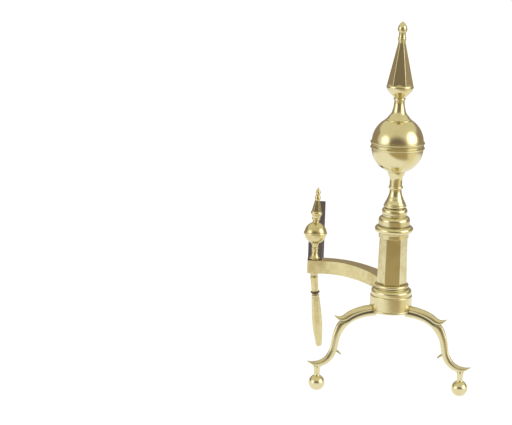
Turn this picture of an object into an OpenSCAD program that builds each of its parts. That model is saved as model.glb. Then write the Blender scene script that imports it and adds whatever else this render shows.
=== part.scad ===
// Steeple-top brass andiron, the right-hand one of a mirrored pair.
// A stack of turned and cast brass pieces is clamped on one iron tie rod.
// Two spurred cabriole legs carry its front. A curved, brass-cased arm leads from
// the base to a log stop with a pendant drop, and a wrought-iron billet bar runs
// back from the log stop to a forged rear leg.
// Built round the column's axis, with z up from the hearth and +y towards the fire.

/* [Stand] */
// Height of the drum's lower edge above the hearth
stand_h = 120.9; // [108:0.5:136]
// Angle that each front leg swings forward of the column
leg_splay = 18.5; // [12:0.5:28]
// Distance from the column's axis to the centre of each ball foot
foot_reach = 115; // [112:0.5:119]
// Diameter of a ball foot
foot_d = 24.5; // [23:0.5:26]
// Diameter of the flat that wear has left under a ball foot
foot_flat_d = 8; // [5:0.5:10]
// Diameter of the neck above a ball foot
foot_neck_d = 9.6; // [9:0.2:11]
// Height of the seat where a leg stands on its foot
foot_seat_z = 34.6; // [33:0.2:35.4]
// Diameter of the peg that joins a leg to its foot
foot_peg_d = 5.6; // [4:0.2:6.4]
// Thickness of a leg across its side ridges, at the drum
leg_t = 12.6; // [11:0.2:14]
// Width of a leg's outer and inner edges, as a share of its thickness
leg_edge = 0.36; // [0.25:0.01:0.45]
// Thickness of the tenon at a leg's root
tenon_t = 7.6; // [6:0.2:9]

/* [Base] */
// Diameter of the round drum
drum_d = 64; // [60:0.5:68]
// Height of the drum
drum_h = 25.1; // [24:0.1:28]
// Wall of the drum
drum_wall = 3.2; // [2.4:0.1:4]
// Height of the lip round the drum's lower edge
drum_lip_h = 3.4; // [2:0.1:5]
// Height of the moulding over the drum
moulding_h = 17.3; // [16:0.1:20]
// Diameter over the torus of that moulding
torus_d = 62; // [58:0.5:66]
// Diameter over the bead under the column
bead_d = 52.4; // [49:0.2:56]
// Radius of the iron hub that the legs are let into
hub_r = 23.6; // [21:0.2:24]
// Thickness of the hub
hub_t = 10.5; // [9:0.1:11]

/* [Column and collar] */
// Height of the hexagonal column
column_h = 72.9; // [60:0.5:100]
// Width of the column across its corners, at the foot
column_foot = 45.4; // [42:0.2:47]
// Width of the column across its corners, at the top
column_top = 42.6; // [40:0.2:45]
// Diameter of the bore through the column
column_bore = 30; // [26:0.5:32]
// Diameter of the plain band under the collar
band_d = 45.6; // [45:0.2:48]
// Diameter over the largest ring of the collar
ring_c_d = 58.4; // [54:0.2:62]
// Diameter over the middle ring of the collar
ring_b_d = 47.8; // [45:0.2:50]
// Diameter over the small ring of the collar
ring_a_d = 38.7; // [36:0.2:41]
// Diameter of the fillet on top of the collar
collar_top_d = 34.6; // [33:0.2:36.6]

/* [Ball] */
// Height of the turned neck between the collar and the ball
lower_neck_h = 50.8; // [46:0.1:58]
// Diameter of that neck where it flares out under the ball
lower_neck_d = 27; // [24:0.2:29]
// Diameter of that neck between its bead and that flare
lower_stem_d = 19; // [17:0.2:20.4]
// Diameter over the bead on that neck
lower_bead_d = 22; // [20.8:0.2:24]
// Diameter of that neck at its waist
lower_waist_d = 17.8; // [16:0.2:18.4]
// Diameter of the hollow ball
ball_d = 78.4; // [74:0.2:84]
// Wall of the ball
ball_wall = 2.2; // [1.6:0.1:3]
// Height of the band between the two half balls
ball_band_h = 8; // [6:0.1:12]
// Diameter over the two rims that edge the band
ball_rim_d = 82.4; // [81:0.2:85]
// Height of each rim
ball_rim_h = 2.2; // [1.6:0.1:2.8]

/* [Finial] */
// Height of the trumpet neck above the ball
upper_neck_h = 34.4; // [32:0.1:42]
// Diameter of the foot of the trumpet neck
upper_foot_d = 39.2; // [37:0.2:41]
// Diameter of the trumpet neck at its narrowest
upper_neck_d = 15.4; // [13.4:0.2:16.4]
// Diameter over the small ring at its top
upper_ring_d = 17.8; // [17:0.2:20]
// Height of the cup under the steeple
cup_h = 14; // [12:0.1:17]
// Diameter over the ring at the steeple's foot
steeple_ring_d = 40.6; // [40.6:0.2:44]
// Height of that ring
steeple_ring_h = 5.2; // [4:0.1:7]
// Height of the faceted steeple
steeple_h = 64; // [50:0.5:90]
// Width of the steeple across its corners, at the foot
steeple_foot = 39.8; // [36:0.2:40.4]
// Width of the steeple across its corners, at the top
steeple_tip = 11; // [9:0.2:12]
// Turn of the steeple against the column's facets
steeple_turn = 5; // [-30:1:30]
// Height of the reel between the steeple and the acorn
reel_h = 14.4; // [12:0.1:17]
// Diameter over the reel's bead
reel_d = 12.2; // [11:0.1:13.4]
// Height of the acorn at the tip
acorn_h = 16.5; // [13:0.1:19]
// Largest diameter of the acorn
acorn_d = 13.5; // [12:0.1:15]

/* [Arm and bar] */
// Distance from the column's axis to the log stop, sideways
stop_x = 121.4; // [110:0.5:135]
// Distance from the column's axis to the log stop, towards the fire
stop_y = 133.65; // [125:0.5:145]
// Height of the arm's top above the drum's lower edge
arm_rise = 41.6; // [41.1:0.1:42.1]
// Width of the arm and of the bar
bar_w = 22.4; // [20:0.1:22.6]
// Height of the arm and of the bar
bar_h = 21.3; // [20.8:0.1:22]
// Wall of the brass casing on the arm
casing_wall = 1.7; // [1.4:0.1:2]
// Radius of the arm's tight bend by the log stop
arm_bend_r = 75; // [65:1:85]
// Heading at which the long sweep runs into the tight bend
arm_switch = 140; // [134:1:146]
// Distance that the arm passes beside the column's axis
arm_offset = 4.5; // [0:0.5:6]
// Distance from the column's axis to the back of the rear leg
bar_reach = 675; // [450:5:750]
// Height of the bar's top over the rear leg
bar_end_z = 138.8; // [125:0.5:150]
// Width of the bar at its far end
bar_end_w = 18.8; // [17:0.2:21.2]
// Depth of the rear leg, front to back
rear_leg_t = 15; // [12:0.5:18]
// Width of the rear leg at its waist
rear_waist_w = 7; // [6:0.5:12]
// Width of the rear leg's flared foot
rear_foot_w = 17; // [14:0.5:20]
// Outer radius of the bend into the rear leg
rear_bend_r = 12; // [10.5:0.5:20]

/* [Log stop and drop] */
// Height of the flared stem of the log stop
stem_h = 26.7; // [24:0.1:32]
// Diameter of the stem's foot
stem_foot_d = 16.6; // [15:0.2:19]
// Diameter of the stem at its waist
stem_waist_d = 9.2; // [8.6:0.1:11]
// Diameter of the stem's top, that the ball sits on
stem_top_d = 12.8; // [11:0.2:14.6]
// Diameter of the log stop's ball
stop_ball_d = 35.2; // [32:0.2:38]
// Diameter over the band on that ball
stop_band_d = 37.4; // [36:0.2:40]
// Lean of the small steeple over the ball
stop_lean = 2.5; // [0:0.5:3]
// Diameter over the ring of the small steeple
stop_ring_d = 18.4; // [17.4:0.2:21]
// Height of the small steeple
stop_steeple_h = 17.6; // [15:0.2:26]
// Width of the small steeple across its corners, at the foot
stop_steeple_foot = 16.2; // [14:0.2:16.8]
// Width of the small steeple across its corners, at the top
stop_steeple_tip = 8.4; // [7:0.2:9.4]
// Height of the small acorn with its reel
stop_acorn_h = 21.2; // [19:0.1:25]
// Largest diameter of the small acorn
stop_acorn_d = 8.2; // [7.4:0.1:9]
// Height of the turned collar over the pendant drop
drop_collar_h = 7; // [5:0.1:9]
// Diameter of that collar
drop_collar_d = 14; // [13:0.2:15.4]
// Length of the pendant drop
drop_h = 117.3; // [105:0.5:125]
// Diameter of the drop's neck
drop_neck_d = 12.4; // [11:0.2:13]
// Diameter over the drop's ring
drop_ring_d = 14.6; // [13.6:0.2:16]
// Width of the drop's faceted body across its corners, at its shoulder
drop_shoulder = 12.8; // [11.6:0.2:14]
// Width of that body across its corners, at its widest
drop_belly = 16.2; // [15:0.2:18]
// Width of that body across its corners, over its rounded end
drop_toe = 10.2; // [8:0.2:12]
// Lean of the drop, whose stud has bent a little
drop_lean = 5.7; // [0:0.5:6]
// Diameter of the stud through the log stop
stud_d = 6; // [5:0.1:6.6]

/* [Rod] */
// Diameter of the tie rod
rod_d = 8; // [7:0.1:8.4]
// Width of the nut across its flats
nut_af = 14; // [13:0.1:15]
// Height of the nut
nut_h = 6; // [5:0.1:6.4]
// Diameter of the washer
washer_d = 19; // [17:0.1:20]
// Thickness of the washer
washer_t = 1.4; // [1:0.1:1.8]
// Play round the rod, the studs and the pegs, on the radius
bore_play = 0.2; // [0.1:0.05:0.3]
// Play between pieces that are let into each other
fit_play = 0.3; // [0.2:0.05:0.4]

/* [Hidden] */
$fn = 64;
brass = [0.80, 0.69, 0.36];
pale_brass = [0.86, 0.77, 0.46];
iron = [0.27, 0.25, 0.27];
steel = [0.45, 0.44, 0.43];
eps = 0.01;

// Levels of the stack, from the drum up
drum_top = stand_h + drum_h;
moulding_top = drum_top + moulding_h;
column_end = moulding_top + column_h;
ring_c_h = 9.4;
ring_b_h = 12;
ring_a_h = 9.4;
band_h = 8.6;
collar_fillet_h = 5.7;
collar_neck_h = 3.1;
collar_top = column_end + band_h + ring_c_h + collar_neck_h + ring_b_h + collar_neck_h
    + ring_a_h + collar_fillet_h;
ball_r = ball_d / 2;
// Both ends of the ball are cut flat for what seats there
ball_low_cut = sqrt(ball_r * ball_r - pow(lower_neck_d / 2, 2));
ball_high_cut = sqrt(ball_r * ball_r - pow(upper_foot_d / 2 + 0.8, 2));
ball_bottom = collar_top + lower_neck_h;
lower_centre = ball_bottom + ball_low_cut;
upper_centre = lower_centre + ball_band_h;
ball_seam = lower_centre + ball_band_h * 0.54;
ball_top = upper_centre + ball_high_cut;
upper_neck_top = ball_top + upper_neck_h;
cup_top = upper_neck_top + cup_h;
steeple_base = cup_top + steeple_ring_h;
steeple_end = steeple_base + steeple_h;
acorn_base = steeple_end + reel_h;

// Rod, bores and spigots
rod_bore = rod_d / 2 + bore_play;
spigot_h = 3;
spigot_r = column_bore / 2 - fit_play;
rod_top = steeple_base + 16;
hub_top = stand_h + 9.1;
hub_bottom = hub_top - hub_t;
nut_pocket_h = 3;
nut_pocket_r = washer_d / 2 + 0.8;
rod_bottom = hub_bottom + nut_pocket_h - washer_t - nut_h - 0.8;

// Arm, eye and base cavity
arm_top_z = stand_h + arm_rise;
arm_bottom_z = arm_top_z - bar_h;
core_bottom_z = arm_bottom_z + casing_wall + bore_play;
core_top_z = arm_top_z - casing_wall - bore_play;
face_offset = bar_w / 2;
core_front = face_offset - casing_wall - bore_play;
eye_r = 13;
eye_t = 8;
eye_top_z = core_bottom_z + eye_t;
drum_deck_t = 4;
drum_in_r = drum_d / 2 - drum_wall;
moulding_cavity_r = torus_d / 2 - 5;
arm_start_r = max(torus_d, drum_d) / 2 + fit_play + 0.2;

// The arm's centreline is a long sweep, a tight bend and a straight end
bend_centre = [-(stop_x - bar_w / 2 - bore_play), stop_y - arm_bend_r];
switch_dir = [sin(arm_switch), -cos(arm_switch)];
switch_point = bend_centre + arm_bend_r * switch_dir;
switch_from_root = switch_point + [arm_offset, 0];
sweep_r = (switch_from_root * switch_from_root) / (2 * switch_from_root * switch_dir);
sweep_centre = switch_point - sweep_r * switch_dir;

// Bar and rear leg
bar_left = -(stop_x + bar_w / 2);
bar_right = -(stop_x - bar_w / 2);
bar_front_y = stop_y - core_front;
bar_break_y = stop_y + stop_band_d / 2 + 1;
bar_fall = (arm_top_z - bar_end_z) / (bar_reach - rear_bend_r - bar_break_y);

// Ball feet and legs
foot_r = foot_d / 2;
foot_centre_z = sqrt(foot_r * foot_r - pow(foot_flat_d / 2, 2));
toe_reach = foot_reach + 17;
toe_z = foot_seat_z + 12.2;
leg_edge_t = 0.6;

// Where the whole stands: its origin is under the middle of its own box
box_left = -(stop_x + max(bar_w, stop_band_d) / 2);
box_right = toe_reach * cos(leg_splay) + leg_edge_t * leg_edge * sin(leg_splay);
box_front = -(foot_reach * sin(leg_splay) + foot_r);
box_back = bar_reach;
origin = [-(box_left + box_right) / 2, -(box_front + box_back) / 2, 0];

// Points on a circle's arc, from angle a0 to a1
function arc(c, r, a0, a1, n = 8) =
    [for (i = [0:n]) let (a = a0 + (a1 - a0) * i / n) c + r * [cos(a), sin(a)]];

// Points on a cubic curve from p0 to p3, pulled towards p1 and p2
function curve(p0, p1, p2, p3, n = 10) = [for (i = [0:n]) let (t = i / n, u = 1 - t)
    u * u * u * p0 + 3 * u * u * t * p1 + 3 * u * t * t * p2 + t * t * t * p3];

// A smooth curve through a list of rows, k rows for each step
function through(rows, k) = concat([for (i = [0:len(rows) - 2], j = [0:k - 1])
    let (a = rows[max(i - 1, 0)], b = rows[i], c = rows[i + 1],
        d = rows[min(i + 2, len(rows) - 1)], t = j / k)
    b + t * (c - a) / 2 + t * t * (a - 2.5 * b + 2 * c - d / 2)
        + t * t * t * (1.5 * b - a / 2 - 1.5 * c + d / 2)], [rows[len(rows) - 1]]);

// Outer points that round in from radius r at z0 to radius high at z1
function round_in(r, high, z0, z1, n = 5) =
    [for (i = [0:n]) let (a = 90 * i / n) [high + (r - high) * cos(a), z0 + (z1 - z0) * sin(a)]];

// Outer points of a turned ring that swells from radius low to r and draws in to high
function swell(low, r, high, z0, z1, n = 5) = let (mid = (z0 + z1) / 2)
    concat([for (i = [0:n - 1]) let (a = 90 * i / n) [low + (r - low) * sin(a), mid - (mid - z0) * cos(a)]],
        round_in(r, high, mid, z1, n));

// A turned piece from its outer points, given as [radius, height], with a bore
module turned(points, bore = 0) {
    low = points[0][1];
    high = points[len(points) - 1][1];
    difference() {
        rotate_extrude() polygon(concat([[0, low]], points, [[0, high]]));
        if (bore > 0) translate([0, 0, low - 1]) cylinder(r = bore, h = high - low + 2);
    }
}

// A round ring of half-round section, r to its crest
module torus_ring(r, z, h) {
    translate([0, 0, z]) rotate_extrude() translate([r - h / 2, 0]) circle(d = h);
}

// A six-sided spire or bar, from width a at the foot to width b at the top
module hexagon(a, b, h) {
    cylinder(d1 = a, d2 = b, h = h, $fn = 6);
}

module place() {
    translate(origin) children();
}

/* ---- finial ---- */

// Acorn, reel, faceted steeple, ring and cup, cast in one
module acorn_steeple() {
    ring_r = steeple_ring_d / 2;
    reel_r = reel_d / 2;
    acorn_r = acorn_d / 2;
    tip_r = steeple_tip / 2;
    stem_r = reel_r * 0.82;
    cup_r = upper_ring_d / 2 - 0.6;
    color(brass) place() difference() {
        union() {
            turned(concat([[cup_r, upper_neck_top]],
                curve([cup_r, upper_neck_top + 0.2], [cup_r + 4.7, upper_neck_top + cup_h * 0.33],
                    [ring_r - 2.7, upper_neck_top + cup_h * 0.62], [ring_r - 0.9, cup_top])));
            translate([0, 0, cup_top]) rotate_extrude() polygon(concat([[0, 0]],
                arc([ring_r - steeple_ring_h / 2, steeple_ring_h / 2], steeple_ring_h / 2, -90, 90),
                [[0, steeple_ring_h]]));
            translate([0, 0, steeple_base - eps]) rotate([0, 0, -steeple_turn])
                hexagon(steeple_foot, steeple_tip, steeple_h + eps);
            translate([0, 0, steeple_end - eps]) rotate_extrude() polygon(concat([[0, 0], [tip_r * 0.95, 0]],
                swell(reel_r * 0.93, reel_r, reel_r * 0.9, reel_h * 0.26, reel_h * 0.5, 4),
                curve([reel_r * 0.88, reel_h * 0.56], [stem_r * 1.02, reel_h * 0.66],
                    [stem_r, reel_h * 0.74], [stem_r, reel_h * 0.86], 4),
                [[stem_r * 1.04, reel_h], [0, reel_h]]));
            translate([0, 0, acorn_base - eps]) rotate_extrude() polygon(concat([[0, 0], [stem_r * 1.04, 0]],
                curve([acorn_r * 0.8, acorn_h * 0.05], [acorn_r * 1.14, acorn_h * 0.18],
                    [acorn_r * 1.14, acorn_h * 0.5], [acorn_r * 0.7, acorn_h * 0.72], 12),
                curve([acorn_r * 0.56, acorn_h * 0.79], [acorn_r * 0.42, acorn_h * 0.86],
                    [acorn_r * 0.34, acorn_h], [0, acorn_h], 6)));
        }
        translate([0, 0, upper_neck_top - 1]) cylinder(r = rod_bore, h = rod_top + 1 - upper_neck_top + 1);
    }
}

// Trumpet neck that flares down on to the ball
module trumpet_neck() {
    foot_r2 = upper_foot_d / 2;
    neck_r = upper_neck_d / 2;
    small_r = upper_ring_d / 2;
    lip = 1.4;
    ring_h = 3.6;
    waist_z = ball_top + upper_neck_h * 0.78;
    color(brass) place() {
        turned(concat([[foot_r2, ball_top], [foot_r2, ball_top + lip]],
            curve([foot_r2 - 1.6, ball_top + lip], [neck_r + 4.2, ball_top + upper_neck_h * 0.24],
                [neck_r, ball_top + upper_neck_h * 0.42], [neck_r, waist_z], 12),
            [[neck_r, upper_neck_top - ring_h - 0.4]],
            arc([small_r - ring_h / 2, upper_neck_top - ring_h / 2], ring_h / 2, -90, 90, 6)), rod_bore);
        // A spigot drops into the opening of the upper half ball
        translate([0, 0, ball_top - spigot_h]) difference() {
            cylinder(r = ball_mouth_r - fit_play, h = spigot_h + eps);
            translate([0, 0, -1]) cylinder(r = ball_mouth_r - fit_play - 3, h = spigot_h + 1);
        }
    }
}

/* ---- ball ---- */

ball_in_r = ball_r - ball_wall;
ball_mouth_r = sqrt(ball_in_r * ball_in_r - ball_high_cut * ball_high_cut);
lap_h = 3;
lap_t = 1;
lap_play = 0.1;
band_step = 0.6;
seam_bevel = 0.6;

// Half of a round disc about a height, from there up (side 1) or down (side -1)
module half_disc(r, z, side) {
    intersection() {
        translate([0, z]) circle(r = r);
        translate([0, side > 0 ? z : z - 2 * r]) square([2 * r, 2 * r]);
    }
}

// Half of the band, from its bevelled edge at the seam to the rim at a half ball's
// centre, above the seam (side 1) or below it (side -1)
module band_half(centre, side) {
    band_r = ball_r + band_step;
    rim_z = abs(centre - ball_seam);
    outline = concat([[0, 0], [band_r - seam_bevel, 0], [band_r, seam_bevel]],
        swell(band_r, ball_rim_d / 2, ball_r - 0.4, rim_z - ball_rim_h / 2, rim_z + ball_rim_h / 2),
        [[0, rim_z + ball_rim_h / 2]]);
    order = side > 0 ? [0:1:len(outline) - 1] : [len(outline) - 1:-1:0];
    translate([0, ball_seam]) polygon([for (i = order) [outline[i][0], side * outline[i][1]]]);
}

// Upper half of the hollow ball, open where the trumpet neck stands
module ball_upper_half() {
    lap_z = ball_seam - lap_h;
    color(pale_brass) place() rotate_extrude() difference() {
        union() {
            half_disc(ball_r, upper_centre, 1);
            band_half(upper_centre, 1);
            translate([0, lap_z]) square([ball_in_r + lap_t, lap_h + seam_bevel]);
        }
        half_disc(ball_in_r, upper_centre, 1);
        translate([0, lap_z - 1]) square([ball_in_r, upper_centre - lap_z + 1]);
        translate([0, ball_top]) square([ball_r, ball_r]);
    }
}

// Lower half of the hollow ball, standing on the lower neck
module ball_lower_half() {
    lap_z = ball_seam - lap_h - fit_play;
    floor_t = 4;
    color(pale_brass) place() rotate_extrude() difference() {
        union() {
            half_disc(ball_r, lower_centre, -1);
            band_half(lower_centre, -1);
        }
        difference() {
            half_disc(ball_in_r, lower_centre, -1);
            translate([0, ball_bottom - 1]) square([lower_neck_d / 2 + 1, floor_t + 1]);
        }
        translate([0, lower_centre]) square([ball_in_r, ball_seam - lower_centre + 1]);
        translate([0, lap_z]) square([ball_in_r + lap_t + lap_play, ball_seam - lap_z + 1]);
        translate([0, ball_bottom - 1]) square([rod_bore, floor_t + 2]);
        translate([0, ball_bottom - ball_r]) square([ball_r, ball_r]);
    }
}

/* ---- neck and collar ---- */

// Turned neck with a bead, flaring down on to the collar
module lower_neck() {
    top_r = lower_neck_d / 2;
    stem_r = lower_stem_d / 2;
    bead_r = lower_bead_d / 2;
    waist_r = lower_waist_d / 2;
    foot_r2 = collar_top_d / 2 - 1.8;
    h = lower_neck_h;
    bead_h = 4.2;
    bead_mid = collar_top + h * 0.514;
    color(brass) place() turned(concat([[foot_r2, collar_top]],
        curve([foot_r2 - 0.4, collar_top + 1], [waist_r + 3.4, collar_top + h * 0.13],
            [waist_r, collar_top + h * 0.26], [waist_r, collar_top + h * 0.44]),
        swell(waist_r + 0.5, bead_r, stem_r, bead_mid - bead_h / 2, bead_mid + bead_h / 2),
        curve([stem_r, collar_top + h * 0.74], [stem_r, collar_top + h * 0.8],
            [top_r - 0.4, collar_top + h * 0.9], [top_r, ball_bottom])), rod_bore);
}

// Collar of stepped rings, hollow underneath
module stepped_collar() {
    z_c = column_end + band_h;
    z_b = z_c + ring_c_h + collar_neck_h;
    z_a = z_b + ring_b_h + collar_neck_h;
    z_f = z_a + ring_a_h;
    ring_b = ring_b_d / 2;
    neck_cb = ring_b - 0.5;
    neck_ba = ring_a_d / 2 - 1;
    band_r = band_d / 2;
    top_r = collar_top_d / 2;
    deck = 5;
    color(brass) place() difference() {
        union() {
            turned(concat([[band_r, column_end], [band_r, column_end + band_h * 0.62],
                [band_r + 1.6, z_c - 0.4]],
                swell(band_r + 2, ring_c_d / 2, neck_cb + 0.4, z_c, z_c + ring_c_h),
                [[neck_cb, z_c + ring_c_h + 0.3], [neck_cb, z_b - 1.2], [ring_b - 0.1, z_b - 0.8]],
                round_in(ring_b, neck_ba + 0.6, z_b + ring_b_h * 0.45, z_b + ring_b_h * 0.96, 7),
                [[neck_ba, z_b + ring_b_h], [neck_ba, z_a]],
                swell(neck_ba + 0.2, ring_a_d / 2, top_r - 1.2, z_a + 0.3, z_f - 0.2),
                [[top_r - 1.6, z_f], [top_r - 1.6, z_f + 1.2]],
                swell(top_r - 1.5, top_r, top_r - 1.6, z_f + 1.3, collar_top - 0.2),
                [[top_r - 1.7, collar_top]]));
            translate([0, 0, column_end - spigot_h]) cylinder(r = spigot_r, h = spigot_h + eps);
        }
        translate([0, 0, column_end - spigot_h - 1])
            cylinder(r = spigot_r - 3, h = collar_top - deck - column_end + spigot_h + 1);
        translate([0, 0, column_end]) cylinder(r = rod_bore, h = collar_top - column_end + 1);
    }
}

// Hollow hexagonal column, a little wider at its foot
module hex_column() {
    color(pale_brass) place() translate([0, 0, moulding_top]) difference() {
        hexagon(column_foot, column_top, column_h);
        translate([0, 0, -1]) cylinder(d = column_bore, h = column_h + 2);
    }
}

/* ---- base ---- */

// Plan of one edge of the arm, w outwards of its centreline: the long sweep, the
// tight bend and, where it goes on, the straight end
function arm_edge(w, to_end) = concat(
    arc(sweep_centre, sweep_r + w, asin(-sweep_centre[1] / sweep_r), arm_switch - 90, 28),
    arc(bend_centre, arm_bend_r + w, arm_switch - 90, 90, 16),
    to_end ? [[bar_left, stop_y + w]] : []);

// The arm's run as a bar, w0 to w1 across and z0 to z1 high
module arm_run(w0, w1, z0, z1, to_end = true) {
    outer = arm_edge(w1, to_end);
    translate([0, 0, z0]) linear_extrude(height = z1 - z0)
        polygon(concat(arm_edge(w0, to_end), [for (i = [len(outer) - 1:-1:0]) outer[i]]));
}

// Slot that the neck of the arm's iron passes through
module arm_slot() {
    arm_run(-core_front - fit_play, face_offset + fit_play, core_bottom_z - fit_play,
        eye_top_z + fit_play);
}

// Torus, cove and bead under the column, hollow over the arm's eye
module base_moulding() {
    torus_r = torus_d / 2;
    bead_r = bead_d / 2;
    bead_h = 4.6;
    torus_h = 10.2;
    z = drum_top;
    color(brass) place() {
        difference() {
            turned(concat([[torus_r - 0.5, z], [torus_r - 0.2, z + 0.6]],
                swell(torus_r - 0.2, torus_r, bead_r - 1, z + 0.8, z + torus_h),
                [[bead_r - 1.2, z + torus_h + 0.6]],
                curve([bead_r - 1.6, z + torus_h + 0.8], [bead_r - 2, z + torus_h + 1.4],
                    [bead_r - 1.8, moulding_top - bead_h - 0.4], [bead_r - 1.2, moulding_top - bead_h], 4),
                arc([bead_r - bead_h / 2, moulding_top - bead_h / 2], bead_h / 2, -60, 90, 7)), rod_bore);
            translate([0, 0, z - 1]) cylinder(r = moulding_cavity_r, h = eye_top_z - z + 1);
            arm_slot();
        }
        translate([0, 0, moulding_top - eps]) difference() {
            cylinder(r = spigot_r, h = spigot_h + eps);
            translate([0, 0, -1]) cylinder(r = spigot_r - 3, h = spigot_h + 2);
        }
    }
}

// Plain drum with a lip, notched for the legs and for the arm
module base_drum() {
    r = drum_d / 2;
    deck_z = core_bottom_z - drum_deck_t;
    boss_r = 10;
    color(pale_brass) place() difference() {
        union() {
            difference() {
                turned([[r + 0.5, stand_h], [r + 0.5, stand_h + drum_lip_h - 0.6],
                    [r, stand_h + drum_lip_h], [r, drum_top - 1], [r - 0.7, drum_top]]);
                translate([0, 0, stand_h - 1]) cylinder(r = drum_in_r, h = deck_z - stand_h + 1);
                translate([0, 0, core_bottom_z]) cylinder(r = drum_in_r, h = drum_h);
            }
            translate([0, 0, hub_top]) cylinder(r = boss_r, h = deck_z - hub_top + eps);
        }
        translate([0, 0, stand_h]) cylinder(r = rod_bore, h = drum_h);
        leg_side(1) leg_notch();
        leg_side(-1) leg_notch();
        arm_slot();
    }
}

// Iron disc inside the drum, slotted for the tenons of both legs
module leg_hub() {
    slot_w = tenon_t + 2 * bore_play;
    color(iron) place() translate([0, 0, hub_bottom]) difference() {
        cylinder(r = hub_r, h = hub_t);
        translate([0, 0, -1]) cylinder(r = rod_bore, h = hub_t + 2);
        translate([0, 0, -1]) cylinder(r = nut_pocket_r, h = nut_pocket_h + 1);
        leg_side(1) translate([tenon_start - fit_play, -slot_w / 2, tenon_low - hub_bottom - fit_play])
            cube([hub_r, slot_w, hub_t]);
        leg_side(-1) translate([tenon_start - fit_play, -slot_w / 2, tenon_low - hub_bottom - fit_play])
            cube([hub_r, slot_w, hub_t]);
        leg_side(1) pin_line(pin_r + bore_play, 0, 2 * hub_r, -hub_bottom);
        leg_side(-1) pin_line(pin_r + bore_play, 0, 2 * hub_r, -hub_bottom);
    }
}

/* ---- legs ---- */

tenon_start = 12.6;
tenon_low = hub_bottom + 0.6;
leg_root = hub_r + 0.4;
pin_r = 1.7;
pin_s = (tenon_start + hub_r) / 2;
pin_z = (tenon_low + hub_top) / 2;
pin_len = 22;

// Turns a leg's own plane, x outwards, to the right or left side
module leg_side(side) {
    mirror([side < 0 ? 1 : 0, 0, 0]) rotate([0, 0, -leg_splay]) children();
}

// A round line across the leg's plane, through its tenon
module pin_line(r, y0, len, dz) {
    translate([pin_s, y0, pin_z + dz]) rotate([90, 0, 0]) cylinder(r = r, h = len, center = true);
}

// Rows of a leg: outer point, inner point and thickness. Heights and reaches
// follow the drum's lower edge and the foot, and those of the shin are shares of
// the way from the foot's seat up to the knee.
function row(os, oz, is, iz, t) = [os, oz, is, iz, t];
function shin_z(share) = foot_seat_z + share * (knee_z - foot_seat_z);
drum_r = drum_d / 2;
shin = foot_reach - 28;
knee_z = stand_h - 12;

// The upper moulding of a leg runs out over the knee into a spur
hip_rows = [
    row(leg_root, stand_h + 10, leg_root, stand_h + 0.4, leg_t),
    row(drum_r + 7, stand_h + 8.6, drum_r + 6, stand_h - 0.4, leg_t),
    row(drum_r + 21, stand_h + 5.8, drum_r + 18.6, stand_h - 3.2, leg_t * 0.97),
    row(drum_r + 34, stand_h + 1, drum_r + 30, stand_h - 7.8, leg_t * 0.92),
    row(shin - 11.8, knee_z + 7.2, shin - 16, knee_z - 1, leg_t * 0.84),
    row(shin - 4.8, knee_z + 5.6, shin - 6.6, knee_z - 1.4, leg_t * 0.62),
    row(shin + 4, knee_z + 8.4, shin + 2.2, knee_z + 6.2, 2 * leg_edge_t)];

// The shank runs under that moulding, turns down the shin and out into the toe
shank_rows = [
    row(leg_root, stand_h + 3, leg_root, stand_h - 7.3, leg_t * 0.86),
    row(drum_r + 6, stand_h + 2.2, drum_r + 5, stand_h - 8.2, leg_t * 0.86),
    row(drum_r + 19.6, stand_h - 0.6, drum_r + 17, stand_h - 10.6, leg_t * 0.84),
    row(drum_r + 31, stand_h - 5.4, drum_r + 27, stand_h - 14.2, leg_t * 0.82),
    row(shin - 14.4, knee_z + 0.6, shin - 21.2, knee_z - 6.2, leg_t * 0.8),
    row(shin - 7.4, knee_z - 1.4, shin - 17, knee_z - 10.2, leg_t * 0.78),
    row(shin - 3.4, shin_z(0.935), shin - 13.2, shin_z(0.806), leg_t * 0.76),
    row(shin + 0.4, shin_z(0.844), shin - 9.4, shin_z(0.728), leg_t * 0.75),
    row(shin + 4.2, shin_z(0.69), shin - 6, shin_z(0.618), leg_t * 0.72),
    row(shin + 6.2, shin_z(0.545), shin - 4.2, shin_z(0.502), leg_t * 0.69),
    row(shin + 7.8, shin_z(0.425), shin - 2.8, shin_z(0.404), leg_t * 0.66),
    row(shin + 10.4, shin_z(0.331), shin - 0.4, shin_z(0.293), leg_t * 0.65),
    row(foot_reach - 12.4, shin_z(0.229), foot_reach - 24, shin_z(0.191), leg_t * 0.66),
    row(foot_reach - 5, shin_z(0.167), foot_reach - 16.2, shin_z(0.094), leg_t * 0.7),
    row(foot_reach + 2, foot_seat_z + 10.6, foot_reach - 7.2, foot_seat_z + 3, leg_t * 0.74),
    row(foot_reach + 9, foot_seat_z + 10.6, foot_reach + 2.6, foot_seat_z + 2.2, leg_t * 0.58),
    row(toe_reach, toe_z, toe_reach - 1.8, toe_z - 1.6, 2 * leg_edge_t)];

// A thin thorn points in and down from the ankle
thorn_rows = [
    row(shin + 4, shin_z(0.409), shin + 5.4, shin_z(0.353), leg_t * 0.4),
    row(shin - 2.4, shin_z(0.371), shin - 0.8, shin_z(0.323), leg_t * 0.34),
    row(shin - 6.4, shin_z(0.318), shin - 5.2, shin_z(0.296), leg_t * 0.2),
    row(shin - 9.6, shin_z(0.264), shin - 9.1, shin_z(0.257), leg_edge_t)];

// Shapes across a leg: [share of the way in, share of half its thickness]
hip_section = [[0, leg_edge], [0.24, 0.76], [0.56, 1], [0.86, 0.94], [1, 0.8]];
shank_section = [[0, leg_edge], [0.2, 0.8], [0.46, 1], [0.76, 0.78], [1, leg_edge]];
function leg_ring(r, section) =
    let (o = [r[0], r[1]], i = [r[2], r[3]], t = r[4] / 2,
        half = [for (p = section) let (m = o + p[0] * (i - o)) [m[0], p[1] * t, m[1]]])
    concat(half, [for (k = [len(half) - 1:-1:0]) [half[k][0], -half[k][1], half[k][2]]]);

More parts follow.
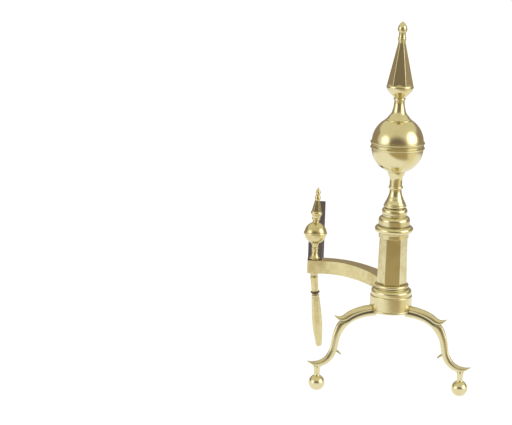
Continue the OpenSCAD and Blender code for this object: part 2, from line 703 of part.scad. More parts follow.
// Sweeps a section smoothly through rows, in the leg's own plane
module leg_sweep(rows, section, k = 4) {
    rings = [for (r = through(rows, k)) leg_ring(r, section)];
    n = len(rings[0]);
    last = len(rings) - 1;
    points = [for (ring = rings, p = ring) p];
    sides = [for (i = [0:last - 1], j = [0:n - 1])
        let (a = i * n + j, b = i * n + (j + 1) % n) each [[a, b, a + n], [b, b + n, a + n]]];
    polyhedron(points, concat([[for (j = [n - 1:-1:0]) j]], sides,
        [[for (j = [0:n - 1]) last * n + j]]));
}

// One spurred cabriole leg: spur at the knee, thorn at the ankle and a pointed toe
module leg_body() {
    leg_sweep(hip_rows, hip_section);
    leg_sweep(shank_rows, shank_section);
    leg_sweep(thorn_rows, shank_section, 2);
}

module leg() {
    boss_d = foot_neck_d + 0.8;
    tenon_h = hub_top - tenon_low;
    difference() {
        union() {
            leg_body();
            translate([tenon_start, -tenon_t / 2, tenon_low])
                cube([leg_root + 3 - tenon_start, tenon_t, tenon_h]);
            translate([foot_reach, 0, foot_seat_z]) cylinder(d = boss_d, h = 6);
            translate([foot_reach, 0, foot_seat_z - 12]) cylinder(d = foot_peg_d, h = 14);
        }
        pin_line(pin_r + bore_play, 0, 2 * hub_r, 0);
    }
}

// Opening in the drum that a leg's root passes through
module leg_notch() {
    r = hip_rows[0];
    top = r[1] + fit_play + 0.2;
    half = [for (p = hip_section) [p[1] * r[4] / 2 + fit_play, top + p[0] * (r[3] - top)]];
    outline = concat(half, [for (k = [len(half) - 1:-1:0]) [-half[k][0], half[k][1]]]);
    translate([hub_r, 0, 0]) rotate([90, 0, 90]) linear_extrude(height = drum_d / 2) polygon(outline);
    translate([hub_r, -r[4] / 2 - fit_play, 0]) cube([drum_d / 2, r[4] + 2 * fit_play, r[3] + 3]);
}

module left_leg() {
    color(brass) place() leg_side(-1) leg();
}

module right_leg() {
    color(brass) place() leg_side(1) leg();
}

// Two pins that hold the tenons in the hub
module leg_pins() {
    color(steel) place() for (side = [-1, 1]) leg_side(side) pin_line(pin_r, 0, pin_len, 0);
}

// Ball foot with its neck and a socket for the leg's peg
module ball_foot() {
    neck_r = foot_neck_d / 2;
    difference() {
        union() {
            intersection() {
                translate([0, 0, foot_centre_z]) sphere(r = foot_r);
                cylinder(r = foot_r + 1, h = foot_d);
            }
            translate([0, 0, foot_centre_z]) turned(concat([[neck_r, 0]],
                curve([neck_r, foot_r * 0.9], [neck_r - 0.8, foot_r + 3], [neck_r - 0.8, foot_r + 5],
                    [neck_r, foot_seat_z - foot_centre_z], 8)));
        }
        translate([0, 0, foot_seat_z - 12 - fit_play]) cylinder(r = foot_peg_d / 2 + bore_play, h = 14);
    }
}

module left_ball_foot() {
    color(brass) place() leg_side(-1) translate([foot_reach, 0, 0]) ball_foot();
}

module right_ball_foot() {
    color(brass) place() leg_side(1) translate([foot_reach, 0, 0]) ball_foot();
}

/* ---- rod ---- */

module tie_rod() {
    color(steel) place() translate([0, 0, rod_bottom]) cylinder(d = rod_d, h = rod_top - rod_bottom);
}

module rod_washer() {
    color(steel) place() translate([0, 0, hub_bottom + nut_pocket_h - washer_t]) difference() {
        cylinder(d = washer_d, h = washer_t);
        translate([0, 0, -1]) cylinder(r = rod_bore, h = washer_t + 2);
    }
}

module rod_nut() {
    color(steel) place() translate([0, 0, hub_bottom + nut_pocket_h - washer_t - nut_h]) difference() {
        cylinder(d = nut_af / cos(30), h = nut_h, $fn = 6);
        translate([0, 0, -1]) cylinder(r = rod_d / 2 + 0.05, h = nut_h + 2);
    }
}

/* ---- arm and bar ---- */

// Side view of the bar behind the log stop, with the rear leg, as [y, z]
function bar_side() =
    let (top = arm_top_z, y1 = bar_break_y, y2 = bar_reach - rear_bend_r,
        z2 = bar_end_z, low = bar_end_z - bar_h, leg_y = bar_reach - rear_leg_t,
        inner_r = 8, foot_toe = 2.5)
    concat([[stop_y + bar_w / 2 + 0.4, top], [y1, top], [y2, z2]],
        arc([y2, z2 - rear_bend_r], rear_bend_r, 82, 0),
        [[bar_reach - 1, 30], [bar_reach, 6], [bar_reach, 0], [leg_y - foot_toe, 0],
            [leg_y - foot_toe, 5], [leg_y, 24]],
        arc([leg_y - inner_r, low - inner_r + bar_fall * rear_bend_r], inner_r, 0, 88, 5),
        [[y1, arm_bottom_z], [stop_y + bar_w / 2 + 0.4, arm_bottom_z]]);

// Front view of the bar and the rear leg, as [x, z]: the right side is straight,
// the left draws in to a waist and flares out again at the foot
function bar_front() =
    let (waist_x = bar_right - rear_waist_w, foot_x = bar_right - rear_foot_w,
        shoulder_z = bar_end_z - bar_h - 4)
    concat([[bar_left, arm_top_z + 1], [bar_left, shoulder_z]],
        curve([bar_left, shoulder_z], [bar_left + 1, shoulder_z - 26], [waist_x, shoulder_z - 34],
            [waist_x, shoulder_z - 62]),
        curve([waist_x, 34], [waist_x, 20], [foot_x + 2, 16], [foot_x, 5], 6),
        [[foot_x, 0], [bar_right, 0], [bar_right, arm_top_z + 1]]);

// Wrought-iron bar: flat eye on the tie rod, core of the arm, corner under the log
// stop, straight bar and forged rear leg, in one
module billet_bar() {
    stud_hole = stud_d / 2 + bore_play;
    back_y = stop_y + bar_w / 2;
    color(iron) place() difference() {
        union() {
            translate([0, 0, core_bottom_z]) cylinder(r = eye_r, h = eye_t);
            intersection() {
                arm_run(-core_front, face_offset, core_bottom_z, eye_top_z);
                cylinder(r = arm_start_r + 6, h = 2 * arm_top_z);
            }
            difference() {
                arm_run(-core_front, face_offset, core_bottom_z, core_top_z);
                cylinder(r = arm_start_r, h = 2 * arm_top_z);
            }
            translate([bar_left, bar_front_y, core_bottom_z])
                cube([bar_w, back_y + 0.5 - bar_front_y, arm_top_z - core_bottom_z]);
            intersection() {
                translate([bar_left - 1, 0, 0]) rotate([90, 0, 90]) linear_extrude(height = bar_w + 2)
                    polygon(bar_side());
                translate([0, 2 * bar_reach, 0]) rotate([90, 0, 0]) linear_extrude(height = 2 * bar_reach)
                    polygon(bar_front());
                translate([0, 0, -1]) linear_extrude(height = 2 * arm_top_z)
                    polygon([[bar_left - 2, stop_y], [bar_right, stop_y], [bar_right, bar_break_y],
                        [bar_right - bar_w + bar_end_w, bar_reach + 1], [bar_left - 2, bar_reach + 1]]);
            }
        }
        translate([0, 0, core_bottom_z - 1]) cylinder(r = rod_bore, h = eye_t + 2);
        translate([-stop_x, stop_y, 0]) cylinder(r = stud_hole, h = 2 * arm_top_z);
        rivet_places() translate([0, 0, arm_bottom_z - 1])
            cylinder(r = rivet_r + bore_play, h = rivet_len + 2);
    }
}

// Brass casing on the front, top and underside of the arm. Its front and
// underside go on past the log stop, where the stud clamps them.
module arm_casing() {
    inner = -face_offset + casing_wall;
    color(pale_brass) place() difference() {
        union() {
            arm_run(-face_offset, inner, arm_bottom_z, arm_top_z);
            arm_run(-face_offset, face_offset, arm_bottom_z, arm_bottom_z + casing_wall);
            arm_run(-face_offset, face_offset, arm_top_z - casing_wall, arm_top_z, false);
        }
        cylinder(r = arm_start_r, h = 2 * arm_top_z);
        translate([-stop_x, stop_y, 0]) cylinder(r = stud_d / 2 + bore_play, h = 2 * arm_top_z);
        rivet_places() translate([0, 0, arm_bottom_z - 1])
            cylinder(r = rivet_r + bore_play, h = casing_wall + 2);
    }
}

rivet_r = 2;
rivet_len = 9;

// Two places under the arm, on its centreline
module rivet_places() {
    spots = [sweep_centre + sweep_r * [cos(32), sin(32)],
        bend_centre + arm_bend_r * [cos(72), sin(72)]];
    for (p = spots) translate([p[0], p[1], 0]) children();
}

// Rivets that hold the casing's underside to the iron
module arm_rivets() {
    head_r = 3.4;
    head_h = 1.4;
    color(brass) place() rivet_places() {
        translate([0, 0, arm_bottom_z - head_h]) cylinder(r1 = head_r - 1, r2 = head_r, h = head_h);
        translate([0, 0, arm_bottom_z - eps]) cylinder(r = rivet_r, h = rivet_len);
    }
}

/* ---- log stop ---- */

stop_ball_r = stop_ball_d / 2;
stop_neck_r = 5.6;
stop_ball_low = arm_top_z + stem_h;
stop_ball_mid = stop_ball_low + sqrt(stop_ball_r * stop_ball_r - pow(stem_top_d / 2, 2));
stop_ball_high = stop_ball_mid + sqrt(stop_ball_r * stop_ball_r - stop_neck_r * stop_neck_r);
stop_stud_top = stop_ball_high + 8;

module at_stop() {
    translate([-stop_x, stop_y, 0]) children();
}

// Flared stem that stands on the corner of the bar
module log_stop_stem() {
    foot = stem_foot_d / 2;
    waist = stem_waist_d / 2;
    top = stem_top_d / 2;
    color(brass) place() at_stop() turned(concat([[foot - 0.4, arm_top_z], [foot, arm_top_z + 0.6],
        [foot, arm_top_z + 2.8]],
        curve([foot - 0.9, arm_top_z + 3.2], [waist + 1.4, arm_top_z + stem_h * 0.26],
            [waist, arm_top_z + stem_h * 0.4], [waist, arm_top_z + stem_h * 0.6]),
        swell(waist + 0.2, waist + 0.9, waist + 0.2, arm_top_z + stem_h * 0.63, arm_top_z + stem_h * 0.72),
        curve([waist + 0.1, arm_top_z + stem_h * 0.74], [waist + 0.2, arm_top_z + stem_h * 0.84],
            [top - 0.8, arm_top_z + stem_h * 0.94], [top, stop_ball_low], 6)), stud_d / 2 + bore_play);
}

// Ball with a band round it
module log_stop_ball() {
    stop_band_h = 4.4;
    color(pale_brass) place() at_stop() difference() {
        union() {
            intersection() {
                translate([0, 0, stop_ball_mid]) sphere(r = stop_ball_r);
                translate([0, 0, stop_ball_low])
                    cylinder(r = stop_ball_r + 1, h = stop_ball_high - stop_ball_low);
            }
            torus_ring(stop_band_d / 2, stop_ball_mid, stop_band_h);
        }
        translate([0, 0, stop_ball_low - 1]) cylinder(r = stud_d / 2 + bore_play, h = stop_ball_d);
    }
}

// Small neck, ring, faceted steeple, reel and acorn
module log_stop_steeple() {
    z = stop_ball_high;
    ring_r = stop_ring_d / 2;
    ring_h = 5.4;
    tier_r = 6.8;
    neck_r = 4.9;
    cup_r = 6.2;
    ring_z = z + 13.4;
    base_z = ring_z + ring_h;
    end_z = base_z + stop_steeple_h;
    ar = stop_acorn_d / 2;
    bell_r = ar * 1.12;
    pin = ar * 0.76;
    h = stop_acorn_h;
    color(brass) place() at_stop() difference() {
        translate([0, 0, stop_neck_r * sin(stop_lean)]) translate([0, 0, z]) rotate([0, stop_lean, 0])
            translate([0, 0, -z]) union() {
            turned(concat([[stop_neck_r, z]],
                curve([stop_neck_r - 0.2, z + 0.6], [neck_r, z + 1.4], [neck_r, z + 2.4], [neck_r, z + 4], 5),
                swell(neck_r + 0.2, tier_r, cup_r, z + 4.6, z + 8),
                curve([cup_r, z + 8.4], [cup_r + 0.2, z + 10.4], [ring_r - 2, z + 11.2],
                    [ring_r - 1, ring_z], 5),
                swell(ring_r - 0.9, ring_r, ring_r - 1.6, ring_z + 0.1, base_z)));
            translate([0, 0, base_z - eps]) rotate([0, 0, -steeple_turn])
                hexagon(stop_steeple_foot, stop_steeple_tip, stop_steeple_h + eps);
            translate([0, 0, end_z - eps]) rotate_extrude() polygon(concat([[0, 0], [pin + 0.6, 0]],
                curve([bell_r - 0.2, h * 0.06], [bell_r + 0.3, h * 0.14], [bell_r - 0.6, h * 0.3],
                    [pin, h * 0.44], 8),
                curve([ar * 0.9, h * 0.52], [ar * 1.14, h * 0.66], [ar * 0.56, h * 0.8],
                    [ar * 0.12, h], 10), [[0, h]]));
        }
        translate([0, 0, z - 1]) cylinder(r = stud_d / 2 + bore_play, h = stop_stud_top - z + 2);
    }
}

// Iron stud from the small steeple down through the bar into the pendant drop
module log_stop_stud() {
    color(steel) place() at_stop() {
        translate([0, 0, drop_top]) cylinder(d = stud_d, h = stop_stud_top - drop_top);
        drop_pose(drop_top) translate([0, 0, -drop_stud_len]) cylinder(r = stud_end_r, h = drop_stud_len + 1);
    }
}

/* ---- pendant drop ---- */

drop_top = arm_bottom_z - drop_collar_h;
drop_stud_len = 22;
// The stud's lower end is turned down for its thread
stud_end_r = stud_d / 2 - 0.4;

// Turns what hangs below a height, towards the column
module drop_pose(z) {
    translate([0, 0, z]) rotate([0, -drop_lean, 0]) children();
}

// Turned collar under the arm
module drop_collar() {
    r = drop_collar_d / 2;
    h = drop_collar_h;
    color(brass) place() at_stop() turned(concat([[r * 0.82, drop_top]],
        curve([r * 0.8, drop_top + h * 0.1], [r * 0.78, drop_top + h * 0.3],
            [r * 0.86, drop_top + h * 0.5], [r, drop_top + h * 0.56], 5),
        [[r, arm_bottom_z - 0.5], [r - 0.5, arm_bottom_z]]), stud_d / 2 + bore_play);
}

// Pendant drop: plain neck, two rings and a club-shaped six-sided body with a blunt end
module pendant_drop() {
    neck = drop_neck_d / 2;
    ring = drop_ring_d / 2;
    small = ring * 0.86;
    top = -0.2 - neck * sin(drop_lean);
    ring_z = -drop_h * 0.225;
    small_z = -drop_h * 0.276;
    body_z = -drop_h * 0.3;
    belly_z = -drop_h * 0.66;
    end_z = -drop_h + 4.1;
    body = concat(
        curve([drop_shoulder, body_z], [drop_shoulder + 1.8, body_z - drop_h * 0.126],
            [drop_belly, body_z - drop_h * 0.23], [drop_belly, belly_z], 6),
        curve([drop_belly, belly_z], [drop_belly - 0.3, belly_z - drop_h * 0.09],
            [drop_toe + 2.2, belly_z - drop_h * 0.19], [drop_toe, end_z], 6),
        [[drop_toe - 1.2, end_z - 2.3], [drop_toe - 4.4, -drop_h]]);
    color(pale_brass) place() at_stop() drop_pose(drop_top) difference() {
        union() {
            rotate_extrude() polygon(concat([[0, body_z - 1], [neck * 0.8, body_z - 1]],
                [[neck * 0.86, small_z - 1.4]],
                arc([small - 1.2, small_z], 1.2, -80, 80, 5),
                [[neck * 0.8, small_z + 1.6], [neck * 0.8, ring_z - 1.9]],
                arc([ring - 1.5, ring_z], 1.5, -85, 85, 5),
                [[neck * 0.9, ring_z + 2]],
                curve([neck * 0.9, ring_z + 4], [neck * 0.9, ring_z + 12], [neck, top - 8],
                    [neck, top - 2], 6),
                [[neck, top - 0.6], [neck - 0.6, top], [0, top]]));
            for (i = [0:len(body) - 2]) if (body[i][1] > body[i + 1][1])
                translate([0, 0, body[i + 1][1]])
                    hexagon(body[i + 1][0], body[i][0], body[i][1] - body[i + 1][1] + eps);
        }
        translate([0, 0, -drop_stud_len - 1.4]) cylinder(r = stud_end_r + bore_play, h = drop_stud_len + 4);
    }
}

acorn_steeple();
trumpet_neck();
ball_upper_half();
ball_lower_half();
lower_neck();
stepped_collar();
hex_column();
base_moulding();
base_drum();
leg_hub();
left_leg();
right_leg();
leg_pins();
left_ball_foot();
right_ball_foot();
tie_rod();
rod_nut();
rod_washer();
billet_bar();
arm_casing();
arm_rivets();
log_stop_steeple();
log_stop_ball();
log_stop_stem();
log_stop_stud();
drop_collar();
pendant_drop();
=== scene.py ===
"""Steeple-top brass andiron: its turned, cast and forged pieces, finishes, light and view.

Lengths are written in millimetres round the column's axis and set in metres at the end.
"""

from math import asin, atan2, cos, degrees, pi, radians, sin, sqrt

import bmesh
import bpy
from mathutils import Matrix, Vector


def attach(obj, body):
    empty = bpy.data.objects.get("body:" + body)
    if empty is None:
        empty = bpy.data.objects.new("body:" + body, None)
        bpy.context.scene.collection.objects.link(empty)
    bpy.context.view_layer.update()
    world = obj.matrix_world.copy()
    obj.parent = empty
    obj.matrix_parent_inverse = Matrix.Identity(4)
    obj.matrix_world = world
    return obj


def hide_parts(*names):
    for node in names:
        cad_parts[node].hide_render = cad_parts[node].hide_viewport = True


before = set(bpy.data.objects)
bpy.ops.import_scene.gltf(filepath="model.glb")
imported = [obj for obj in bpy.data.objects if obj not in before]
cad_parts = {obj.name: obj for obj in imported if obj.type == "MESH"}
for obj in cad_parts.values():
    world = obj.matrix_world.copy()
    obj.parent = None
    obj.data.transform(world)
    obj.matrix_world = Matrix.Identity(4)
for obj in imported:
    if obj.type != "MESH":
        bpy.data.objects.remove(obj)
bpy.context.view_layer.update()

MM = 0.001
COLUMN_AXIS = Vector((7.426, -313.130, 0))

# Levels of the stack, in mm above the hearth
DRUM_FOOT = 120.9
DRUM_TOP = 146.0
DRUM_RADIUS = 32
COLUMN_FOOT = 163.3
COLUMN_TOP = 236.2
COLLAR_TOP = 287.5
BALL_FOOT = 338.3
BALL_SEAM = 379.4
BALL_TOP = 416.6
CUP_FOOT = 451.0
STEEPLE_RING = 465.0
STEEPLE_FOOT = 470.2
STEEPLE_TOP = 534.2
ACORN_FOOT = 548.6
ACORN_TIP = 565.0

# Ball and its two spun halves
BALL_RADIUS = 39.2
UPPER_CENTRE = 383.1
LOWER_CENTRE = 375.1
RIM_ANGLE = 1.9

# Arm, bar and log stop
STOP = Vector((-121.4, 133.65, 0))
ARM_TOP = 162.5
ARM_FOOT = 141.2
HALF_WIDTH = 11.2
CASING = 1.7
BAR_LEFT = -132.6
BAR_RIGHT = -110.2
BAR_TAPER = 3.6
BAR_DEEP = 21.3
BAR_REACH = 675.0
BAR_END = 138.8
DROP_TOP = 134.2

# Legs
LEG_SPLAY = radians(18.5)
FOOT_REACH = 115.0
FOOT_SEAT = 34.6
FOOT_RADIUS = 12.25
FOOT_FLAT = 4

# Lens in pixels of the picture, and where it stands and points
PICTURE_WIDTH = 512
FOCAL_LENGTH = 1900
VIEWPOINT = Vector((-0.06147, -3.13083, 0.9195))
YAW, PITCH, ROLL = radians(2.88), radians(13.04), radians(1.515)


# ---- lines and profiles ----------------------------------------------------


def arc(centre, radius, start, end, steps):
    """Points on a circle's arc, angles in degrees."""
    turns = [radians(start + (end - start) * i / steps) for i in range(steps + 1)]
    return [(centre[0] + radius * cos(a), centre[1] + radius * sin(a)) for a in turns]


def curve(p0, p1, p2, p3, steps):
    """Points on a cubic curve."""
    points = []
    for i in range(steps + 1):
        t = i / steps
        u = 1 - t
        weights = (u * u * u, 3 * u * u * t, 3 * u * t * t, t * t * t)
        points.append(tuple(sum(w * p[k] for w, p in zip(weights, (p0, p1, p2, p3)))
                            for k in (0, 1)))
    return points


def round_in(crest, top, low, high, steps=6):
    """Quarter-round that draws in from a crest to a radius, between two heights."""
    turns = [pi / 2 * i / steps for i in range(steps + 1)]
    return [(top + (crest - top) * cos(a), low + (high - low) * sin(a)) for a in turns]


def bead(foot, crest, top, low, high, steps=6):
    """Ring that swells from a foot radius to a crest and draws in to a top radius."""
    middle = (low + high) / 2
    turns = [pi / 2 * i / steps for i in range(steps)]
    swell = [(foot + (crest - foot) * sin(a), middle - (middle - low) * cos(a)) for a in turns]
    return swell + round_in(crest, top, middle, high, steps)


def through(rows, steps):
    """Smooth rows of numbers through the given rows."""
    smooth = []
    for i in range(len(rows) - 1):
        a, b, c = rows[max(i - 1, 0)], rows[i], rows[i + 1]
        d = rows[min(i + 2, len(rows) - 1)]
        for j in range(steps):
            t = j / steps
            smooth.append(tuple(
                q + t * (r - p) / 2 + t * t * (p - 2.5 * q + 2 * r - s / 2)
                + t * t * t * (1.5 * q - p / 2 - 1.5 * r + s / 2)
                for p, q, r, s in zip(a, b, c, d)))
    return smooth + [tuple(rows[-1])]


# ---- shaping ---------------------------------------------------------------

FLAT_BELOW = radians(9)
DEEP_CORNER = radians(55)
SHALLOW_SHARE = 0.2
MOST_IN_CORNERS = 0.6


def tarnish_and_shade_layer(bm):
    """Each point's share of tarnish and of painted shade, which the finishes read as an attribute.
    """
    return bm.verts.layers.float.get("tarnish_and_shade") or bm.verts.layers.float.new("tarnish_and_shade")


def spin_profile(bm, profile, steps):
    """Turns a profile of (radius, height) right round the z axis."""
    rim = [bm.verts.new((r, 0, z)) for r, z in profile]
    edges = [bm.edges.new(pair) for pair in zip(rim, rim[1:])]
    bmesh.ops.spin(bm, geom=rim + edges, cent=(0, 0, 0), axis=(0, 0, 1), dvec=(0, 0, 0),
                   angle=2 * pi, steps=steps, use_merge=True, use_duplicate=False)


def hold_straight(profile, longer_than=2.5, margin=0.35):
    """Adds points near the ends of a profile's long straight runs, so they shade as straight."""
    held = [profile[0]]
    for one, two in zip(profile, profile[1:]):
        a, b = Vector(one), Vector(two)
        if (b - a).length > longer_than:
            step = margin * (b - a).normalized()
            held += [tuple(a + step), tuple(b - step)]
        held.append(two)
    return held


def turned(profile, steps=120, soften=0.22):
    """A piece from the lathe, closed at both ends, with its sharp edges eased."""
    bm = bmesh.new()
    closed = [(0, profile[0][1])] + hold_straight(profile) + [(0, profile[-1][1])]
    spin_profile(bm, closed, steps)
    close_up(bm)
    ease_edges(bm, soften, 35)
    return bm


def close_up(bm):
    """Merges what meets, such as the points at a pole, and turns the faces outwards."""
    bmesh.ops.remove_doubles(bm, verts=bm.verts, dist=1e-4)
    bmesh.ops.dissolve_degenerate(bm, edges=bm.edges, dist=1e-5)
    bmesh.ops.recalc_face_normals(bm, faces=bm.faces)


def ease_edges(bm, width, sharper_than, segments=2):
    """Rounds the edges that stand out sharper than an angle."""
    sharp = [e for e in bm.edges
             if len(e.link_faces) == 2 and e.calc_face_angle_signed() > radians(sharper_than)]
    bmesh.ops.bevel(bm, geom=sharp, offset=width, offset_type="OFFSET", segments=segments,
                    profile=0.5, affect="EDGES", clamp_overlap=True, material=-1)


def keep_flats(bm):
    """Marks the edges of flat facets, so that each facet shades flat."""
    for edge in bm.edges:
        if len(edge.link_faces) == 2 and edge.calc_face_angle() > FLAT_BELOW:
            edge.smooth = False
    return bm


def faceted(width_low, width_high, low, high, soften, turn=0):
    """A six-sided spire or column, widths across its corners."""
    bm = bmesh.new()
    bmesh.ops.create_cone(bm, cap_ends=True, segments=6, radius1=width_low / 2,
                          radius2=width_high / 2, depth=high - low,
                          matrix=Matrix.Translation((0, 0, (low + high) / 2))
                          @ Matrix.Rotation(radians(30 + turn), 4, "Z"))
    close_up(bm)
    ease_edges(bm, soften, 20)
    return keep_flats(bm)


def swept(rings, soften, sharper_than, depths=()):
    """Bridges closed rings of points into one closed skin, darkened ring by ring with tarnish and
    painted shade.
    """
    bm = bmesh.new()
    layer = tarnish_and_shade_layer(bm)
    loops = []
    for i, ring in enumerate(rings):
        verts = [bm.verts.new(point) for point in ring]
        for vert, depth in zip(verts, depths[i] if depths else ()):
            vert[layer] = depth
        loops.append([bm.edges.new(pair) for pair in zip(verts, verts[1:] + verts[:1])])
    for one, two in zip(loops, loops[1:]):
        bmesh.ops.bridge_loops(bm, edges=one + two)
    for end in (loops[0], loops[-1]):
        bmesh.ops.contextual_create(bm, geom=end)
    bmesh.ops.recalc_face_normals(bm, faces=bm.faces)
    ease_edges(bm, soften, sharper_than)
    return bm


def gather(*parts):
    """Puts several shaped parts into one."""
    whole = bmesh.new()
    for part in parts:
        mesh = bpy.data.meshes.new("part")
        part.to_mesh(mesh)
        part.free()
        whole.from_mesh(mesh)
        bpy.data.meshes.remove(mesh)
    return whole


def shift(bm, place):
    """Moves a shape by a distance."""
    bmesh.ops.translate(bm, verts=bm.verts, vec=place)
    return bm


def lay_tarnish_and_shade(bm, share_at):
    """Leaves each point the share of darkening that lies at its place: painted shade on the drum,
    tarnish on the drop.
    """
    layer = tarnish_and_shade_layer(bm)
    for vert in bm.verts:
        vert[layer] = max(vert[layer], share_at(vert.co))
    return bm


def mark_crevices(bm):
    """Notes how deep in a corner each point lies, for tarnish that polishing leaves."""
    layer = tarnish_and_shade_layer(bm)
    for edge in bm.edges:
        if len(edge.link_faces) != 2:
            continue
        hollow = -edge.calc_face_angle_signed() / DEEP_CORNER
        if hollow > SHALLOW_SHARE:
            for vert in edge.verts:
                vert[layer] = max(vert[layer], min(MOST_IN_CORNERS, hollow))


def piece(name, bm, finish, node, place=COLUMN_AXIS, smooth_below=32):
    """Makes an object of the shape, in its place, and hides the CAD node that it takes the place
    of.
    """
    mark_crevices(bm)
    shift(bm, place)
    bmesh.ops.scale(bm, verts=bm.verts, vec=(MM, MM, MM))
    for edge in bm.edges:
        if len(edge.link_faces) == 2 and edge.calc_face_angle() > radians(smooth_below):
            edge.smooth = False
    for face in bm.faces:
        face.smooth = True
    mesh = bpy.data.meshes.new(name)
    bm.to_mesh(mesh)
    bm.free()
    mesh.materials.append(finish)
    made = bpy.data.objects.new(name, mesh)
    bpy.context.scene.collection.objects.link(made)
    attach(made, "root")
    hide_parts(node)


# ---- finishes --------------------------------------------------------------


def ramp(tree, source, low, high, from_value, to_value):
    """Maps a mask between two limits on to two values."""
    node = tree.nodes.new("ShaderNodeMapRange")
    node.interpolation_type = "SMOOTHSTEP"
    for name, value in (("From Min", low), ("From Max", high),
                        ("To Min", from_value), ("To Max", to_value)):
        node.inputs[name].default_value = value
    tree.links.new(source, node.inputs["Value"])
    return node.outputs["Result"]


def blend(tree, mask, one, two):
    """Mixes two colours, or a colour that comes from another node, by a mask."""
    node = tree.nodes.new("ShaderNodeMix")
    node.data_type = "RGBA"
    tree.links.new(mask, node.inputs["Factor"])
    for value, socket in ((one, node.inputs["A"]), (two, node.inputs["B"])):
        if isinstance(value, tuple):
            socket.default_value = (*value, 1)
        else:
            tree.links.new(value, socket)
    return node.outputs["Result"]


def join(tree, kind, one, two):
    """Adds, subtracts, multiplies or divides two masks or numbers."""
    node = tree.nodes.new("ShaderNodeMath")
    node.operation = kind
    for value, socket in ((one, node.inputs[0]), (two, node.inputs[1])):
        if isinstance(value, (int, float)):
            socket.default_value = value
        else:
            tree.links.new(value, socket)
    return node.outputs[0]


def noise(tree, scale, detail, rough, place):
    """Noise whose scale and place come from other nodes."""
    node = tree.nodes.new("ShaderNodeTexNoise")
    node.inputs["Detail"].default_value = detail
    node.inputs["Roughness"].default_value = rough
    tree.links.new(place, node.inputs["Vector"])
    tree.links.new(scale, node.inputs["Scale"])
    return node.outputs["Fac"]


def wear_and_shade_group():
    """Masks that every metal here shares: clouds of wear, grain, streaks, and the share of tarnish
    and painted shade.
    """
    group = bpy.data.node_groups.new("metal_wear_and_shade", "ShaderNodeTree")
    face = group.interface
    for name, value in (("Cloud size", 0.03), ("Grain size", 0.002), ("Stretch", 1.0)):
        socket = face.new_socket(name=name, in_out="INPUT", socket_type="NodeSocketFloat")
        socket.default_value = value
    for name in ("Cloud", "Grain", "Streaks", "Tarnish_and_shade"):
        face.new_socket(name=name, in_out="OUTPUT", socket_type="NodeSocketFloat")
    nodes, link = group.nodes, group.links.new
    ins, outs = nodes.new("NodeGroupInput").outputs, nodes.new("NodeGroupOutput").inputs
    place = nodes.new("ShaderNodeTexCoord").outputs["Object"]
    clouds = join(group, "DIVIDE", 1, ins["Cloud size"])
    grains = join(group, "DIVIDE", 1, ins["Grain size"])
    spread = nodes.new("ShaderNodeCombineXYZ")
    spread.inputs[0].default_value = 1
    spread.inputs[1].default_value = 1
    link(ins["Stretch"], spread.inputs[2])
    drawn = nodes.new("ShaderNodeVectorMath")
    drawn.operation = "MULTIPLY"
    link(place, drawn.inputs[0])
    link(spread.outputs[0], drawn.inputs[1])
    link(noise(group, clouds, 4, 0.6, place), outs["Cloud"])
    link(noise(group, grains, 3, 0.7, place), outs["Grain"])
    link(noise(group, grains, 2, 0.6, drawn.outputs[0]), outs["Streaks"])
    # Tarnish in corners and on the drop's ring, and painted shade on the drum and down the legs
    hollow = nodes.new("ShaderNodeAttribute")
    hollow.attribute_name = "tarnish_and_shade"
    link(hollow.outputs["Fac"], outs["Tarnish_and_shade"])
    return group


WEAR_AND_SHADE = wear_and_shade_group()
TARNISH_AND_SHADE_ROUGHENS = 0.25


def metal(name, colour, dulled, tarnish_and_shade_colour, shine, grain, relief, metallic=1.0, cloud=0.03,
          stretch=1.0, dulling=(0.45, 0.75), tarnish_and_shade=0.8):
    """A metal: clean colour, dulled colour, a dark colour for tarnish in corners and for painted
    shade, and a range of roughness.

    Its grain, clouds of wear and relief are sizes in metres.
    """
    finish = bpy.data.materials.new(name)
    finish.use_nodes = True
    tree = finish.node_tree
    shader = tree.nodes["Principled BSDF"]
    shader.inputs["Metallic"].default_value = metallic
    wear = tree.nodes.new("ShaderNodeGroup")
    wear.node_tree = WEAR_AND_SHADE
    wear.inputs["Cloud size"].default_value = cloud
    wear.inputs["Grain size"].default_value = grain
    wear.inputs["Stretch"].default_value = stretch
    dull = ramp(tree, wear.outputs["Cloud"], *dulling, 0, 1)
    surface = blend(tree, dull, colour, dulled)
    # Tarnish and painted shade darken the colour by each point's share
    tarnish_and_shade_mix = join(tree, "MULTIPLY", wear.outputs["Tarnish_and_shade"], tarnish_and_shade)
    surface = blend(tree, tarnish_and_shade_mix, surface, tarnish_and_shade_colour)
    tree.links.new(surface, shader.inputs["Base Color"])
    rough = ramp(tree, wear.outputs["Cloud"], 0.3, 0.7, *shine)
    rough = join(tree, "ADD", rough, join(tree, "MULTIPLY", tarnish_and_shade_mix, TARNISH_AND_SHADE_ROUGHENS))
    tree.links.new(rough, shader.inputs["Roughness"])
    bump = tree.nodes.new("ShaderNodeBump")
    bump.inputs["Strength"].default_value = 1
    bump.inputs["Distance"].default_value = relief
    height = join(tree, "ADD", wear.outputs["Grain"], wear.outputs["Streaks"])
    tree.links.new(height, bump.inputs["Height"])
    tree.links.new(bump.outputs["Normal"], shader.inputs["Normal"])
    return finish


BRASS = (0.82, 0.74, 0.44)
